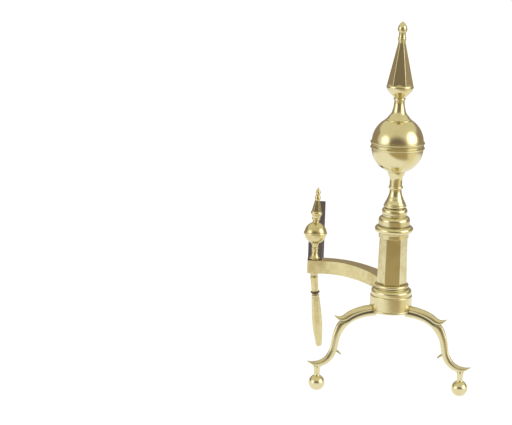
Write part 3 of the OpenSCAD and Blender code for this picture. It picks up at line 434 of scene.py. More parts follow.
# Dark brown for tarnish in corners and for the painted shade on the drum beside the legs
BROWN_TARNISH_AND_SHADE = (0.08, 0.055, 0.035)
TURNED_BRASS = metal("turned_brass", BRASS, (0.78, 0.69, 0.38), BROWN_TARNISH_AND_SHADE, (0.14, 0.24),
                     grain=0.0012, relief=0.000012, stretch=6, tarnish_and_shade=0.9)
FILED_BRASS = metal("filed_brass", BRASS, (0.74, 0.64, 0.34), (0.22, 0.15, 0.07), (0.17, 0.27),
                    grain=0.0012, relief=0.000016, cloud=0.02, stretch=0.15,
                    dulling=(0.38, 0.66))
AGED_BRASS = metal("aged_brass", (0.79, 0.70, 0.385), (0.745, 0.64, 0.33), BROWN_TARNISH_AND_SHADE,
                   (0.16, 0.28), grain=0.0012, relief=0.000016, cloud=0.012, stretch=0.15,
                   dulling=(0.36, 0.64), tarnish_and_shade=0.9)
# Its dark colour is tarnish in corners and painted shade down the legs
CAST_BRASS = metal("cast_brass", BRASS, (0.76, 0.67, 0.38), (0.07, 0.05, 0.035), (0.17, 0.28),
                   grain=0.0025, relief=0.00004, cloud=0.02, tarnish_and_shade=0.95)
WROUGHT_IRON = metal("wrought_iron", (0.105, 0.090, 0.100), (0.16, 0.125, 0.12),
                     (0.05, 0.04, 0.04), (0.42, 0.62), grain=0.004, relief=0.0003,
                     metallic=0.75, cloud=0.025, dulling=(0.4, 0.7))
PLAIN_STEEL = metal("plain_steel", (0.34, 0.33, 0.32), (0.22, 0.18, 0.15), (0.08, 0.06, 0.05),
                    (0.35, 0.5), grain=0.001, relief=0.00003, cloud=0.01)


# ---- front stack -----------------------------------------------------------

# Degrees that the steeples are turned on their reels
STEEPLE_TURN = -5


def acorn_steeple():
    """Cup, ring, six-sided steeple, reel and acorn, cast in one."""
    cup = [(8.2, CUP_FOOT)] + curve((8.3, 451.2), (13.0, 455.6), (17.6, 459.7), (19.3, 464.8), 14)
    ring = bead(19.4, 20.3, 19.0, STEEPLE_RING + 0.1, STEEPLE_FOOT, 7)
    flare = [(18.4, 470.4), (17.4, 471.2), (16.6, 472.6), (15.6, 475)]
    base = turned(cup + ring + flare)
    spire = faceted(39.7, 11, STEEPLE_FOOT, STEEPLE_TOP, 0.6, STEEPLE_TURN)
    reel = ([(5.2, STEEPLE_TOP - 0.1), (5.3, 534.9)] + bead(5.7, 6.1, 5.5, 537.6, 541.4)
            + curve((5.4, 542.3), (5.1, 543.6), (5.0, 545), (5.0, 546.6), 5)
            + [(5.15, ACORN_FOOT - 0.1)])
    acorn = (curve((5.3, 549.2), (7.7, 551.6), (7.7, 556.8), (4.8, 560.4), 14)
             + curve((4.2, 561.2), (3.2, 562.4), (2.4, 564.8), (0.3, ACORN_TIP), 8))
    return gather(base, spire, turned(reel + acorn, 72, 0.12))


def trumpet_neck():
    """Foot that seats on the ball, trumpet-shaped flare and small ring."""
    foot = [(19.4, BALL_TOP - 0.3), (19.6, BALL_TOP + 0.7), (19.3, BALL_TOP + 1.3), (18.7, 418.2)]
    flare = through([(18.4, 418.5), (17.3, 419.6), (14.8, 423), (12.2, 426), (10.6, 429),
                     (9.7, 432), (9.0, 435), (8.4, 438), (7.95, 441), (7.75, 443.5),
                     (7.75, 446)], 3)
    ring = [(7.9, 446.8)] + bead(8.0, 9.0, 8.2, 447.2, 450.6) + [(8.0, CUP_FOOT)]
    return turned(foot + flare + ring)


def ball_upper_half():
    """Half of the band at the seam, its rim, and the dome up to the neck's seat."""
    band = [(39.1, BALL_SEAM + 0.02), (39.75, BALL_SEAM + 0.6), (39.8, 381.9)]
    rim = bead(39.9, 41.2, 39.25, 382.0, 384.2)
    rise = 33.45
    dome = arc((0, UPPER_CENTRE), BALL_RADIUS, RIM_ANGLE, degrees(asin(rise / BALL_RADIUS)), 44)
    return turned(band + rim + dome + [(19.0, BALL_TOP + 0.1)], 160, 0.1)


def ball_lower_half():
    """The bowl from the lower neck up, its rim, and half of the band at the seam."""
    depth = LOWER_CENTRE - BALL_FOOT
    bowl = arc((0, LOWER_CENTRE), BALL_RADIUS, -degrees(asin(depth / BALL_RADIUS)), -RIM_ANGLE, 44)
    rim = bead(39.25, 41.2, 39.9, 374.0, 376.2)
    band = [(39.8, 376.3), (39.75, BALL_SEAM - 0.6), (39.1, BALL_SEAM - 0.02)]
    return turned([(12.5, BALL_FOOT)] + bowl + rim + band, 160, 0.1)


def lower_neck():
    """Flare up from the collar, bead, and stem that widens into the ball's seat."""
    foot = [(16.0, COLLAR_TOP - 0.2), (16.2, COLLAR_TOP + 0.4)]
    flare = through([(16.1, 288.6), (15.2, 290.4), (13.4, 293.5), (12.0, 297), (10.6, 300.2),
                     (9.8, 303), (9.2, 306), (8.9, 309), (8.95, 311)], 3)
    ring = [(9.2, 311.3)] + bead(9.4, 11.0, 9.6, 311.5, 315.7) + [(9.5, 316)]
    stem = through([(9.5, 316.4), (9.45, 320), (9.4, 324), (9.6, 327), (10.3, 329.6),
                    (11.6, 332.4), (12.7, 335.4), (13.3, 338.2)], 3)
    return turned(foot + flare + ring + stem)


def stepped_collar():
    """Rings that step in from the column's width to the neck's foot."""
    band = [(22.8, COLUMN_TOP), (22.9, 236.6), (22.8, 241.4)]
    cove = curve((22.8, 241.6), (22.9, 243.4), (23.8, 244.2), (24.6, 244.6), 5)
    lowest_ring = bead(24.9, 29.2, 23.9, 244.8, 254.2, 10)
    step = [(23.5, 254.5), (23.5, 256.2), (23.85, 256.6)]
    middle_ring = round_in(23.9, 19.0, 262.7, 268.8, 10)
    middle_neck = [(18.4, 269.3), (18.4, 272.2)]
    top_ring = bead(18.6, 19.35, 16.2, 272.7, 281.6, 8)
    top_neck = [(15.8, 281.9), (15.7, 282.9)]
    fillet = bead(15.9, 17.3, 15.8, 283.3, 287.2)
    return turned(band + cove + lowest_ring + step + middle_ring + middle_neck
                  + top_ring + top_neck + fillet + [(15.8, COLLAR_TOP)], 144, 0.15)


def base_moulding():
    """Torus on the drum, and the cove and ring that the column stands on."""
    torus = ([(30.5, DRUM_TOP), (30.8, DRUM_TOP + 0.6)]
             + bead(30.8, 31.0, 25.3, DRUM_TOP + 0.8, 156.2, 10))
    cove = [(25.0, 156.7)] + curve((24.7, 157), (24.3, 157.4), (24.4, 158.3), (24.8, 158.5), 5)
    ring = bead(25.0, 26.2, 24.6, 158.8, COLUMN_FOOT, 8)
    return turned(torus + cove + ring, 144, 0.15)


# Painted shade on the drum beside a leg: most of it, how far round and how high it reaches
DRUM_PAINTED_SHADE = 0.5
PAINTED_SHADE_ROUND = radians(36)
PAINTED_SHADE_TOP = 134


def painted_shade_by_legs(at):
    """Share of the painted shade on the drum beside the two legs."""
    off_leg = abs(atan2(-at.y, abs(at.x)) - LEG_SPLAY)
    return DRUM_PAINTED_SHADE * max(0.0, 1 - off_leg / PAINTED_SHADE_ROUND) * (at.z < PAINTED_SHADE_TOP - 1)


def base_drum():
    """The drum's wall, lip and deck, open below round the hub, with painted shade beside the legs.
    """
    lip = [(28.8, 139.1), (28.8, DRUM_FOOT), (32.2, DRUM_FOOT + 0.1), (32.5, DRUM_FOOT + 0.6),
           (32.5, 123.6), (32.2, 124.2), (31.95, 124.4)]
    # Rings in the wall where the painted shade ends
    wall = [(DRUM_RADIUS, 124.8), (DRUM_RADIUS, PAINTED_SHADE_TOP - 4), (DRUM_RADIUS, PAINTED_SHADE_TOP),
            (DRUM_RADIUS, 144.9), (31.5, 145.7), (30.4, DRUM_TOP)]
    return lay_tarnish_and_shade(turned(lip + wall, 144, 0.15), painted_shade_by_legs)


def front_stack():
    """All that is clamped on the tie rod above the legs."""
    piece("acorn_steeple_cast", acorn_steeple(), TURNED_BRASS, "acorn_steeple")
    piece("trumpet_neck_turned", trumpet_neck(), TURNED_BRASS, "trumpet_neck")
    piece("ball_upper_spun", ball_upper_half(), TURNED_BRASS, "ball_upper_half")
    piece("ball_lower_spun", ball_lower_half(), TURNED_BRASS, "ball_lower_half")
    piece("lower_neck_turned", lower_neck(), TURNED_BRASS, "lower_neck")
    piece("stepped_collar_turned", stepped_collar(), TURNED_BRASS, "stepped_collar")
    piece("hex_column_filed", faceted(45.4, 42.6, COLUMN_FOOT, COLUMN_TOP, 0.5), FILED_BRASS,
          "hex_column")
    piece("base_moulding_turned", base_moulding(), TURNED_BRASS, "base_moulding")
    piece("base_drum_turned", base_drum(), TURNED_BRASS, "base_drum")


# ---- legs ------------------------------------------------------------------

SHIN = FOOT_REACH - 28
KNEE = DRUM_FOOT - 12
LEG_ROOT = 24
LEG_THICK = 12.6

# Outer reach and height, inner reach and height, thickness
HIP_ROWS = [
    (LEG_ROOT, DRUM_FOOT + 10, LEG_ROOT, DRUM_FOOT + 0.4, LEG_THICK),
    (DRUM_RADIUS + 7, DRUM_FOOT + 8.6, DRUM_RADIUS + 6, DRUM_FOOT - 0.4, LEG_THICK),
    (DRUM_RADIUS + 21, DRUM_FOOT + 5.8, DRUM_RADIUS + 18.6, DRUM_FOOT - 3.2, LEG_THICK * 0.97),
    (DRUM_RADIUS + 34, DRUM_FOOT + 1, DRUM_RADIUS + 30, DRUM_FOOT - 7.8, LEG_THICK * 0.92),
    (SHIN - 11.8, KNEE + 7.2, SHIN - 16, KNEE - 1, LEG_THICK * 0.84),
    (SHIN - 4.8, KNEE + 5.6, SHIN - 6.6, KNEE - 1.4, LEG_THICK * 0.62),
    (SHIN + 4, KNEE + 8.4, SHIN + 2.2, KNEE + 6.2, 1.2)]
SHANK_ROWS = [
    (LEG_ROOT, DRUM_FOOT + 3, LEG_ROOT, DRUM_FOOT - 7.3, LEG_THICK * 0.86),
    (DRUM_RADIUS + 6, DRUM_FOOT + 2.2, DRUM_RADIUS + 5, DRUM_FOOT - 8.2, LEG_THICK * 0.86),
    (DRUM_RADIUS + 19.6, DRUM_FOOT - 0.6, DRUM_RADIUS + 17, DRUM_FOOT - 10.6, LEG_THICK * 0.84),
    (DRUM_RADIUS + 31, DRUM_FOOT - 5.4, DRUM_RADIUS + 27, DRUM_FOOT - 14.2, LEG_THICK * 0.82),
    (SHIN - 14.4, KNEE + 0.6, SHIN - 21.2, KNEE - 6.2, LEG_THICK * 0.8),
    (SHIN - 7.4, KNEE - 1.4, SHIN - 17, KNEE - 10.2, LEG_THICK * 0.78),
    (SHIN - 3.4, KNEE - 4.8, SHIN - 13.2, KNEE - 14.4, LEG_THICK * 0.76),
    (SHIN + 0.4, KNEE - 11.6, SHIN - 9.4, KNEE - 20.2, LEG_THICK * 0.75),
    (SHIN + 4.2, KNEE - 23, SHIN - 6, KNEE - 28.4, LEG_THICK * 0.72),
    (SHIN + 6.2, KNEE - 33.8, SHIN - 4.2, KNEE - 37, LEG_THICK * 0.69),
    (SHIN + 7.8, FOOT_SEAT + 31.6, SHIN - 2.8, FOOT_SEAT + 30, LEG_THICK * 0.66),
    (SHIN + 10.4, FOOT_SEAT + 24.6, SHIN - 0.4, FOOT_SEAT + 21.8, LEG_THICK * 0.65),
    (FOOT_REACH - 12.4, FOOT_SEAT + 17, FOOT_REACH - 24, FOOT_SEAT + 14.2, LEG_THICK * 0.66),
    (FOOT_REACH - 5, FOOT_SEAT + 12.4, FOOT_REACH - 16.2, FOOT_SEAT + 7, LEG_THICK * 0.7),
    (FOOT_REACH + 2, FOOT_SEAT + 10.6, FOOT_REACH - 7.2, FOOT_SEAT + 3, LEG_THICK * 0.74),
    (FOOT_REACH + 9, FOOT_SEAT + 10.6, FOOT_REACH + 2.6, FOOT_SEAT + 2.2, LEG_THICK * 0.58),
    (FOOT_REACH + 17, FOOT_SEAT + 12.2, FOOT_REACH + 15.2, FOOT_SEAT + 10.6, 1.2)]
THORN_ROWS = [
    (SHIN + 4, FOOT_SEAT + 30.4, SHIN + 5.4, FOOT_SEAT + 26.2, LEG_THICK * 0.4),
    (SHIN - 2.4, FOOT_SEAT + 27.6, SHIN - 0.8, FOOT_SEAT + 24, LEG_THICK * 0.34),
    (SHIN - 6.7, FOOT_SEAT + 24, SHIN - 4.9, FOOT_SEAT + 21.6, LEG_THICK * 0.22),
    (SHIN - 9.8, FOOT_SEAT + 20, SHIN - 8.8, FOOT_SEAT + 18.9, 1.6)]

# Half of a leg's section: share of the way in, share of half its thickness
HIP_SECTION = [(0, 0.36), (0.24, 0.76), (0.56, 1), (0.86, 0.94), (1, 0.8)]
SHANK_SECTION = [(0, 0.36), (0.2, 0.8), (0.46, 1), (0.76, 0.78), (1, 0.36)]

# Darkening at each row, 1 in the groove between hip and shank; on the hip and shank it is tarnish
# with painted shade
HIP_SHADE_AND_TARNISH = [1] * 5 + [0.5, 0.3]
SHANK_SHADE_AND_TARNISH = [1] * 4 + [0.85, 0.45] + [0.22] * 11
# The thorn is darker towards its tip
THORN_DARKENING = [0.5, 0.8, 1, 1]
GROOVE_REACH = 0.3


def leg_sweep(rows, section, steps, groove, shade_and_tarnish_rows):
    """Sweeps a section down a leg; its darkening lies thickest at a share of the way in."""
    half = through(section, 3)
    rings = []
    for outer_s, outer_z, inner_s, inner_z, thick in through(rows, steps):
        side = [(outer_s + into * (inner_s - outer_s), width * thick / 2,
                 outer_z + into * (inner_z - outer_z)) for into, width in half]
        rings.append(side + [(s, -t, z) for s, t, z in reversed(side)])
    side = [max(0.0, 1 - abs(into - groove) / GROOVE_REACH) ** 0.7 for into, width in half]
    shares = through([(share,) for share in shade_and_tarnish_rows], steps)
    depths = [[share * depth for depth in side + side[::-1]] for share, in shares]
    return swept(rings, 0.3, 34, depths)


def leg():
    """One leg in its own plane, with the boss that the foot screws to."""
    boss = turned([(5.0, FOOT_SEAT), (5.2, FOOT_SEAT + 0.3), (5.2, FOOT_SEAT + 2.6),
                   (4.8, FOOT_SEAT + 3.2), (4.8, FOOT_SEAT + 6)], 64, 0.15)
    shift(boss, (FOOT_REACH, 0, 0))
    return gather(leg_sweep(HIP_ROWS, HIP_SECTION, 8, 1, HIP_SHADE_AND_TARNISH),
                  leg_sweep(SHANK_ROWS, SHANK_SECTION, 5, 0.32, SHANK_SHADE_AND_TARNISH),
                  leg_sweep(THORN_ROWS, SHANK_SECTION, 4, 0.5, THORN_DARKENING), boss)


def ball_foot():
    """Ball with a small flat that it stands on, and its neck."""
    centre = sqrt(FOOT_RADIUS ** 2 - FOOT_FLAT ** 2)
    low = -degrees(asin(centre / FOOT_RADIUS))
    ball = arc((0, centre), FOOT_RADIUS, low, 66, 30)
    neck = through([(4.8, 23.3), (4.5, 24.6), (4.35, 27), (4.4, 30), (4.6, 32.6), (4.8, 33.9)], 4)
    return turned(ball + neck + [(4.8, FOOT_SEAT)], 80, 0.15)


def to_side(bm, side):
    """Turns a leg's own plane out to the right or the left."""
    bmesh.ops.rotate(bm, verts=bm.verts, cent=(0, 0, 0),
                     matrix=Matrix.Rotation(-LEG_SPLAY, 3, "Z"))
    if side < 0:
        bmesh.ops.scale(bm, verts=bm.verts, vec=(-1, 1, 1))
        bmesh.ops.recalc_face_normals(bm, faces=bm.faces)
    return bm


def stand():
    """Both legs with their feet."""
    for side, name in ((-1, "left"), (1, "right")):
        piece(f"{name}_leg_cast", to_side(leg(), side), CAST_BRASS, f"{name}_leg",
              smooth_below=38)
        foot = shift(ball_foot(), (FOOT_REACH, 0, 0))
        piece(f"{name}_foot_turned", to_side(foot, side), TURNED_BRASS,
              f"{name}_ball_foot")


# ---- arm and bar -----------------------------------------------------------

# The arm leaves the rod in a wide sweep and switches to a tighter bend, seen from above
ARM_ROOT = Vector((-4.5, 0))
BEND_RADIUS = 75.0
BEND_CENTRE = Vector((STOP.x + HALF_WIDTH + 0.2, STOP.y - BEND_RADIUS))
SWITCH = 50
SWITCH_WAY = Vector((cos(radians(SWITCH)), sin(radians(SWITCH))))
SWITCH_POINT = BEND_CENTRE + BEND_RADIUS * SWITCH_WAY
FROM_ROOT = SWITCH_POINT - ARM_ROOT
SWEEP_RADIUS = FROM_ROOT.dot(FROM_ROOT) / (2 * FROM_ROOT.dot(SWITCH_WAY))
SWEEP_CENTRE = SWITCH_POINT - SWEEP_RADIUS * SWITCH_WAY


def round_centre(centre, radius, start, end, steps):
    """Points and outward directions on a circle seen from above."""
    ways = [Vector(way) for way in arc((0, 0), 1, start, end, steps)]
    return [(centre + radius * way, way) for way in ways]


def arm_line(start_angle):
    """Points and outward directions along the arm, from the drum to the tight bend's end."""
    first = degrees(asin(-SWEEP_CENTRE.y / SWEEP_RADIUS)) + start_angle
    return (round_centre(SWEEP_CENTRE, SWEEP_RADIUS, first, SWITCH, 56)
            + round_centre(BEND_CENTRE, BEND_RADIUS, SWITCH, 90, 32)[1:])


def along_arm(line, section, soften):
    """Sweeps a section of (outwards, height) along the arm."""
    rings = [[(*(point + w * way), z) for w, z in section] for point, way in line]
    return keep_flats(swept(rings, soften, 50))


def arm_casing():
    """Brass sheet round the arm's front, top and underside, and round the corner."""
    front, back, low, high = -HALF_WIDTH, HALF_WIDTH, ARM_FOOT, ARM_TOP
    inner = front + CASING
    channel = [(front, low), (front, high), (back, high), (back, high - CASING),
               (inner, high - CASING), (inner, low + CASING), (back, low + CASING), (back, low)]
    angle = [(front, low), (front, high), (inner, high), (inner, low + CASING),
             (back, low + CASING), (back, low)]
    line = arm_line(10)
    end = [line[-1], (Vector((BAR_LEFT, STOP.y)), Vector((0, 1)))]
    return gather(along_arm(line, channel, 0.45), along_arm(end, angle, 0.4))


def arm_core():
    """The forged arm inside its casing, bare at the back."""
    low, high = ARM_FOOT + CASING, ARM_TOP - CASING
    front, back = -HALF_WIDTH + CASING, HALF_WIDTH - 0.05
    section = [(front, low), (front, high), (back, high), (back, low)]
    return along_arm(arm_line(9), section, 0.6)


# Where the bar starts behind the corner, starts to taper, bulges to the left and bends down
BAR_START = 144.6
TAPER_START = 153.35
BAR_BEND = BAR_REACH - 12
OUTER_BEND = 12
INNER_BEND = 8
INNER_CENTRE = Vector((652, BAR_END - BAR_DEEP - 7.5))
SWELL_LENGTH = 260
REAR_LEG_RIGHT = BAR_RIGHT - BAR_TAPER

# Heights and left edges of the rear leg; from two of them the edge runs on in an S
REAR_LEG_LEFT = [(0, -127.2), (5, -126.9), (14, -122), (24, -118.1), (34, -117.2),
                 (52, -117.2), (66, -118.1), (78, -121.2), (88, -126), (98, -130.6),
                 (108, -132.3), (120, BAR_LEFT)]
EASED_FROM = (5, 66)


def forged_corner():
    """Block under the log stop, where the arm meets the bar."""
    low = Vector((BAR_LEFT, STOP.y - HALF_WIDTH + CASING + 0.1, ARM_FOOT + CASING + 0.1))
    high = Vector((BAR_RIGHT, BAR_START + 0.1, ARM_TOP - 0.02))
    bm = bmesh.new()
    bmesh.ops.create_cube(bm, size=1)
    bmesh.ops.scale(bm, verts=bm.verts, vec=high - low)
    shift(bm, (low + high) / 2)
    ease_edges(bm, 0.5, 30, 3)
    return keep_flats(bm)


def rear_leg_left(z):
    """Left edge of the rear leg at a height, measured across the bar."""
    for (z0, x0), (z1, x1) in zip(REAR_LEG_LEFT, REAR_LEG_LEFT[1:]):
        if z <= z1:
            t = (z - z0) / (z1 - z0)
            t = t * t * (3 - 2 * t) if z0 in EASED_FROM else t
            return x0 + t * (x1 - x0)
    return BAR_LEFT


def bar_stations(steps):
    """Outer and inner edge, left and right of the straight bar, which falls and narrows."""
    fall = (ARM_TOP - BAR_END) / (BAR_BEND - TAPER_START)
    stations = []
    for i in range(steps + 1):
        y = BAR_START + (BAR_BEND - BAR_START) * i / steps
        along = max(0, y - TAPER_START)
        top = ARM_TOP - along * fall
        swell = 2.4 * sin(pi * min(1, along / SWELL_LENGTH)) ** 2
        right = BAR_RIGHT - BAR_TAPER * along / (BAR_REACH - TAPER_START)
        stations.append(((y, top), (y, top - BAR_DEEP), BAR_LEFT - swell, right))
    return stations


def bend_stations(steps):
    """The same round the bend down into the rear leg."""
    outer_centre = Vector((BAR_BEND, BAR_END - OUTER_BEND))
    stations = []
    for i in range(1, steps + 1):
        a = radians(86 - 86 * i / steps)
        way = Vector((cos(a), sin(a)))
        outer, inner = outer_centre + OUTER_BEND * way, INNER_CENTRE + INNER_BEND * way
        stations.append((tuple(outer), tuple(inner), rear_leg_left(inner.y), REAR_LEG_RIGHT))
    return stations


def rear_leg_stations(steps):
    """The same down the rear leg, through its waist to its foot."""
    stations = []
    for i in range(1, steps + 1):
        z = 110 * (1 - i / steps)
        back = BAR_REACH - 0.9 * min(1, max(0, (z - 6) / 24))
        front = 660 - 2.5 * max(0, min(1, (24 - z) / 19))
        stations.append(((back, z), (front, z), rear_leg_left(z), REAR_LEG_RIGHT))
    return stations


def straight_bar():
    """Bar from the log stop back, bent down into the rear leg, with its waist and foot."""
    stations = bar_stations(60) + bend_stations(12) + rear_leg_stations(40)
    rings = [[(left, *outer), (right, *outer), (right, *inner), (left, *inner)]
             for outer, inner, left, right in stations]
    return keep_flats(swept(rings, 1.1, 40))


def arm_and_bar():
    """The cased arm, and the iron forged in one from arm to rear leg."""
    piece("arm_casing_formed", arm_casing(), AGED_BRASS, "arm_casing")
    forged = gather(arm_core(), forged_corner(), straight_bar())
    piece("billet_bar_forged", forged, WROUGHT_IRON, "billet_bar")


# ---- log stop and drop -----------------------------------------------------


def lean(bm, height, angle):
    """Tips a piece about a height, to the right for a positive angle in degrees."""
    bmesh.ops.rotate(bm, verts=bm.verts, cent=(0, 0, height),
                     matrix=Matrix.Rotation(radians(angle), 3, "Y"))
    return bm


def log_stop_stem():
    """Foot on the bar's corner, flare, ring and cup under the ball."""
    foot = [(7.9, ARM_TOP + 0.05), (8.3, ARM_TOP + 0.6), (8.3, ARM_TOP + 2.6), (7.7, 165.6)]
    flare = through([(7.3, 165.9), (6.5, 167.5), (5.3, 170.2), (4.75, 173), (4.6, 176),
                     (4.6, 178.4)], 4)
    ring = bead(4.7, 5.5, 4.7, 179.3, 181.8)
    top = through([(4.65, 182.4), (4.75, 184), (5.2, 186), (5.9, 187.8), (6.3, 189.1)], 3)
    return turned(foot + flare + ring + top, 72, 0.1)


def log_stop_ball():
    """Ball with a ring round its middle."""
    centre, radius = 205.6, 17.6
    bowl = arc((0, centre), radius, -68.6, -7.4, 20)
    ring = bead(17.4, 18.7, 17.4, 203.4, 207.8)
    dome = arc((0, centre), radius, 7.4, 71.4, 20)
    return turned(bowl + ring + dome, 96, 0.08)


def log_stop_steeple():
    """A small steeple on its neck and cup, with a bell and an acorn, leaning a little."""
    foot = 222.45
    neck = [(5.6, foot), (5.5, foot + 0.6), (5.0, foot + 1.4), (4.9, foot + 4), (5.0, foot + 4.4)]
    tier = bead(5.1, 6.8, 6.2, foot + 4.6, foot + 8)
    cup = curve((6.2, foot + 8.4), (6.4, foot + 10.4), (7.2, foot + 11.2), (8.2, foot + 13.4), 8)
    ring = bead(8.3, 9.2, 7.6, foot + 13.5, foot + 18.8, 8) + [(6.6, foot + 19.6)]
    base = turned(neck + tier + cup + ring, 80, 0.1)
    spire = faceted(16.2, 8.4, foot + 18.8, foot + 36.4, 0.25, STEEPLE_TURN)
    bell = [(3.6, foot + 36.3)] + curve((4.4, foot + 37.7), (4.9, foot + 39.4),
                                        (4.0, foot + 42.8), (3.1, foot + 45.7), 12)
    acorn = curve((3.7, foot + 47.4), (4.7, foot + 50.4), (2.3, foot + 53.4),
                  (0.5, foot + 57.5), 14)
    return lean(gather(base, spire, turned(bell + acorn, 56, 0.06)), foot, 2.5)


def drop_collar():
    """Collar under the corner, that the drop hangs from."""
    top = ARM_FOOT - 0.05
    return turned([(5.8, DROP_TOP), (5.6, 135), (5.6, 136.2), (6.2, 137.2), (6.9, 138),
                   (7.0, 138.4), (7.0, top - 0.5), (6.6, top)], 72, 0.1)


def six_sided(rows, soften):
    """A six-sided bar swept up through widths across its corners."""
    corners = [radians(60 * k) for k in range(6)]
    rings = [[(width / 2 * cos(a), width / 2 * sin(a), z) for a in corners] for width, z in rows]
    return keep_flats(swept(rings, soften, 30))


def pendant_drop():
    """Neck, two rings and a club-shaped six-sided body, hung from its top at height 0."""
    neck = [(5.4, -0.7), (6.15, -1.4), (6.2, -2.6)] + through(
        [(6.15, -3), (5.9, -9), (5.7, -16), (5.6, -22), (5.6, -24.2)], 3)
    upper_ring = list(reversed(bead(5.7, 7.3, 5.7, -28, -24.9)))
    lower_ring = list(reversed(bead(5.3, 6.3, 5.1, -33.6, -31.2)))
    rings = upper_ring + [(5.1, -28.4), (5.0, -30.8)] + lower_ring + [(5.0, -36.6)]
    turned_top = lay_tarnish_and_shade(turned(list(reversed(neck + rings)), 72, 0.1),
                         lambda at: float(-28.6 < at.z < -24.3))
    body = (curve((12.8, -35.2), (14.6, -50), (16.2, -62), (16.2, -77.4), 12)
            + curve((16.1, -79), (15.9, -89), (12.4, -100), (10.2, -113.2), 12)
            + [(9.4, -115), (7.8, -116.5), (5.8, -117.2)])
    hung = lean(gather(turned_top, six_sided(list(reversed(body)), 0.35)), 0, -5.7)
    return shift(hung, (0, 0, DROP_TOP))


def log_stop():
    """The log stop on the bar's corner, and the drop under it."""
    for node, made_by, shape in (("log_stop_stem", "turned", log_stop_stem),
                                 ("log_stop_ball", "turned", log_stop_ball),
                                 ("log_stop_steeple", "cast", log_stop_steeple),
                                 ("drop_collar", "turned", drop_collar),
                                 ("pendant_drop", "filed", pendant_drop)):
        piece(f"{node}_{made_by}", shape(), AGED_BRASS, node, place=COLUMN_AXIS + STOP)


def plain_nodes():
    """CAD pieces that need nothing but their finish."""
    finishes = {"leg_hub": WROUGHT_IRON, "leg_pins": PLAIN_STEEL,
                "tie_rod": PLAIN_STEEL, "rod_nut": PLAIN_STEEL, "rod_washer": PLAIN_STEEL,
                "arm_rivets": CAST_BRASS, "log_stop_stud": PLAIN_STEEL}
    for name, finish in finishes.items():
        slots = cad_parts[name].data.materials
        slots.clear()
        slots.append(finish)


# ---- studio ----------------------------------------------------------------

WALLS_LOW, WALLS_HIGH = (0.76, 0.73, 0.60), (0.73, 0.70, 0.55)
BEHIND = (0.33, 0.27, 0.22)

# Azimuth and height of a patch of the room, its inner and outer spread, and its colour:
# the dark before the andiron, then the window to its left and the one to its right
ROOM_PATCHES = [((-4, -14), (28, 60), (0.21, 0.175, 0.145)),
                ((-60, 8), (5, 27), (1.75, 1.75, 1.80)),
                ((70, 17), (8, 33), (2.2, 2.2, 2.3))]

# The floor's paper and what lies in front of it, in light and as the brass sees them
PAPER, FRONT_FLOOR = (0.80, 0.80, 0.80), (0.42, 0.34, 0.20)
PAPER_IN_METAL, WARM_PAPER = (0.96, 0.96, 0.95), (0.88, 0.80, 0.58)
FRONT_IN_METAL, FAR_FLOOR = (0.45, 0.365, 0.215), (0.34, 0.29, 0.21)


def distance_along(tree, place, way):
    """How far a place lies along a direction."""
    node = tree.nodes.new("ShaderNodeVectorMath")
    node.operation = "DOT_PRODUCT"
    tree.links.new(place, node.inputs[0])
    node.inputs[1].default_value = way
    return node.outputs["Value"]


def room_patch(tree, place, middle, spread):
    """A soft round patch of the surroundings about one direction, 1 at its middle."""
    azimuth, height = radians(middle[0]), radians(middle[1])
    way = (sin(azimuth) * cos(height), -cos(azimuth) * cos(height), sin(height))
    node = tree.nodes.new("ShaderNodeMapRange")
    node.interpolation_type = "SMOOTHERSTEP"
    node.inputs["From Min"].default_value = cos(radians(spread[1]))
    node.inputs["From Max"].default_value = cos(radians(spread[0]))
    tree.links.new(distance_along(tree, place, way), node.inputs["Value"])
    return node.outputs["Result"]


def surroundings():
    """A pale room: dark before and behind the andiron, a window to each side."""
    world = bpy.data.worlds.new("studio")
    bpy.context.scene.world = world
    world.use_nodes = True
    tree = world.node_tree
    nodes, link = tree.nodes, tree.links.new
    place = nodes.new("ShaderNodeTexCoord").outputs["Generated"]
    apart = nodes.new("ShaderNodeSeparateXYZ")
    link(place, apart.inputs[0])
    room = blend(tree, ramp(tree, apart.outputs["Z"], 0.25, 0.9, 0, 1), WALLS_LOW, WALLS_HIGH)
    low = ramp(tree, apart.outputs["Z"], 0.36, 0.50, 1, 0)
    behind = join(tree, "MULTIPLY", low, ramp(tree, apart.outputs["Y"], 0.05, 0.35, 0, 1))
    room = blend(tree, behind, room, BEHIND)
    for middle, spread, colour in ROOM_PATCHES:
        room = blend(tree, room_patch(tree, place, middle, spread), room, colour)
    path = nodes.new("ShaderNodeLightPath")
    seen = blend(tree, path.outputs["Is Camera Ray"], room, (1.0, 1.0, 1.0))
    link(seen, nodes["Background"].inputs["Color"])


def across_line(tree, place, start, end, blur):
    """1 to the left of a line on the floor as one looks along it, 0 to its right, in metres."""
    way = (Vector(end) - Vector(start)).normalized()
    middle = Vector(start).dot(Vector((-way.y, way.x)))
    side = distance_along(tree, place, (-way.y, way.x, 0))
    return ramp(tree, side, middle - blur, middle + blur, 0, 1)


def choose(tree, mask, one, two):
    """One shader where the mask is 0, the other where it is 1."""
    node = tree.nodes.new("ShaderNodeMixShader")
    tree.links.new(mask, node.inputs[0])
    tree.links.new(one, node.inputs[1])
    tree.links.new(two, node.inputs[2])
    return node.outputs[0]


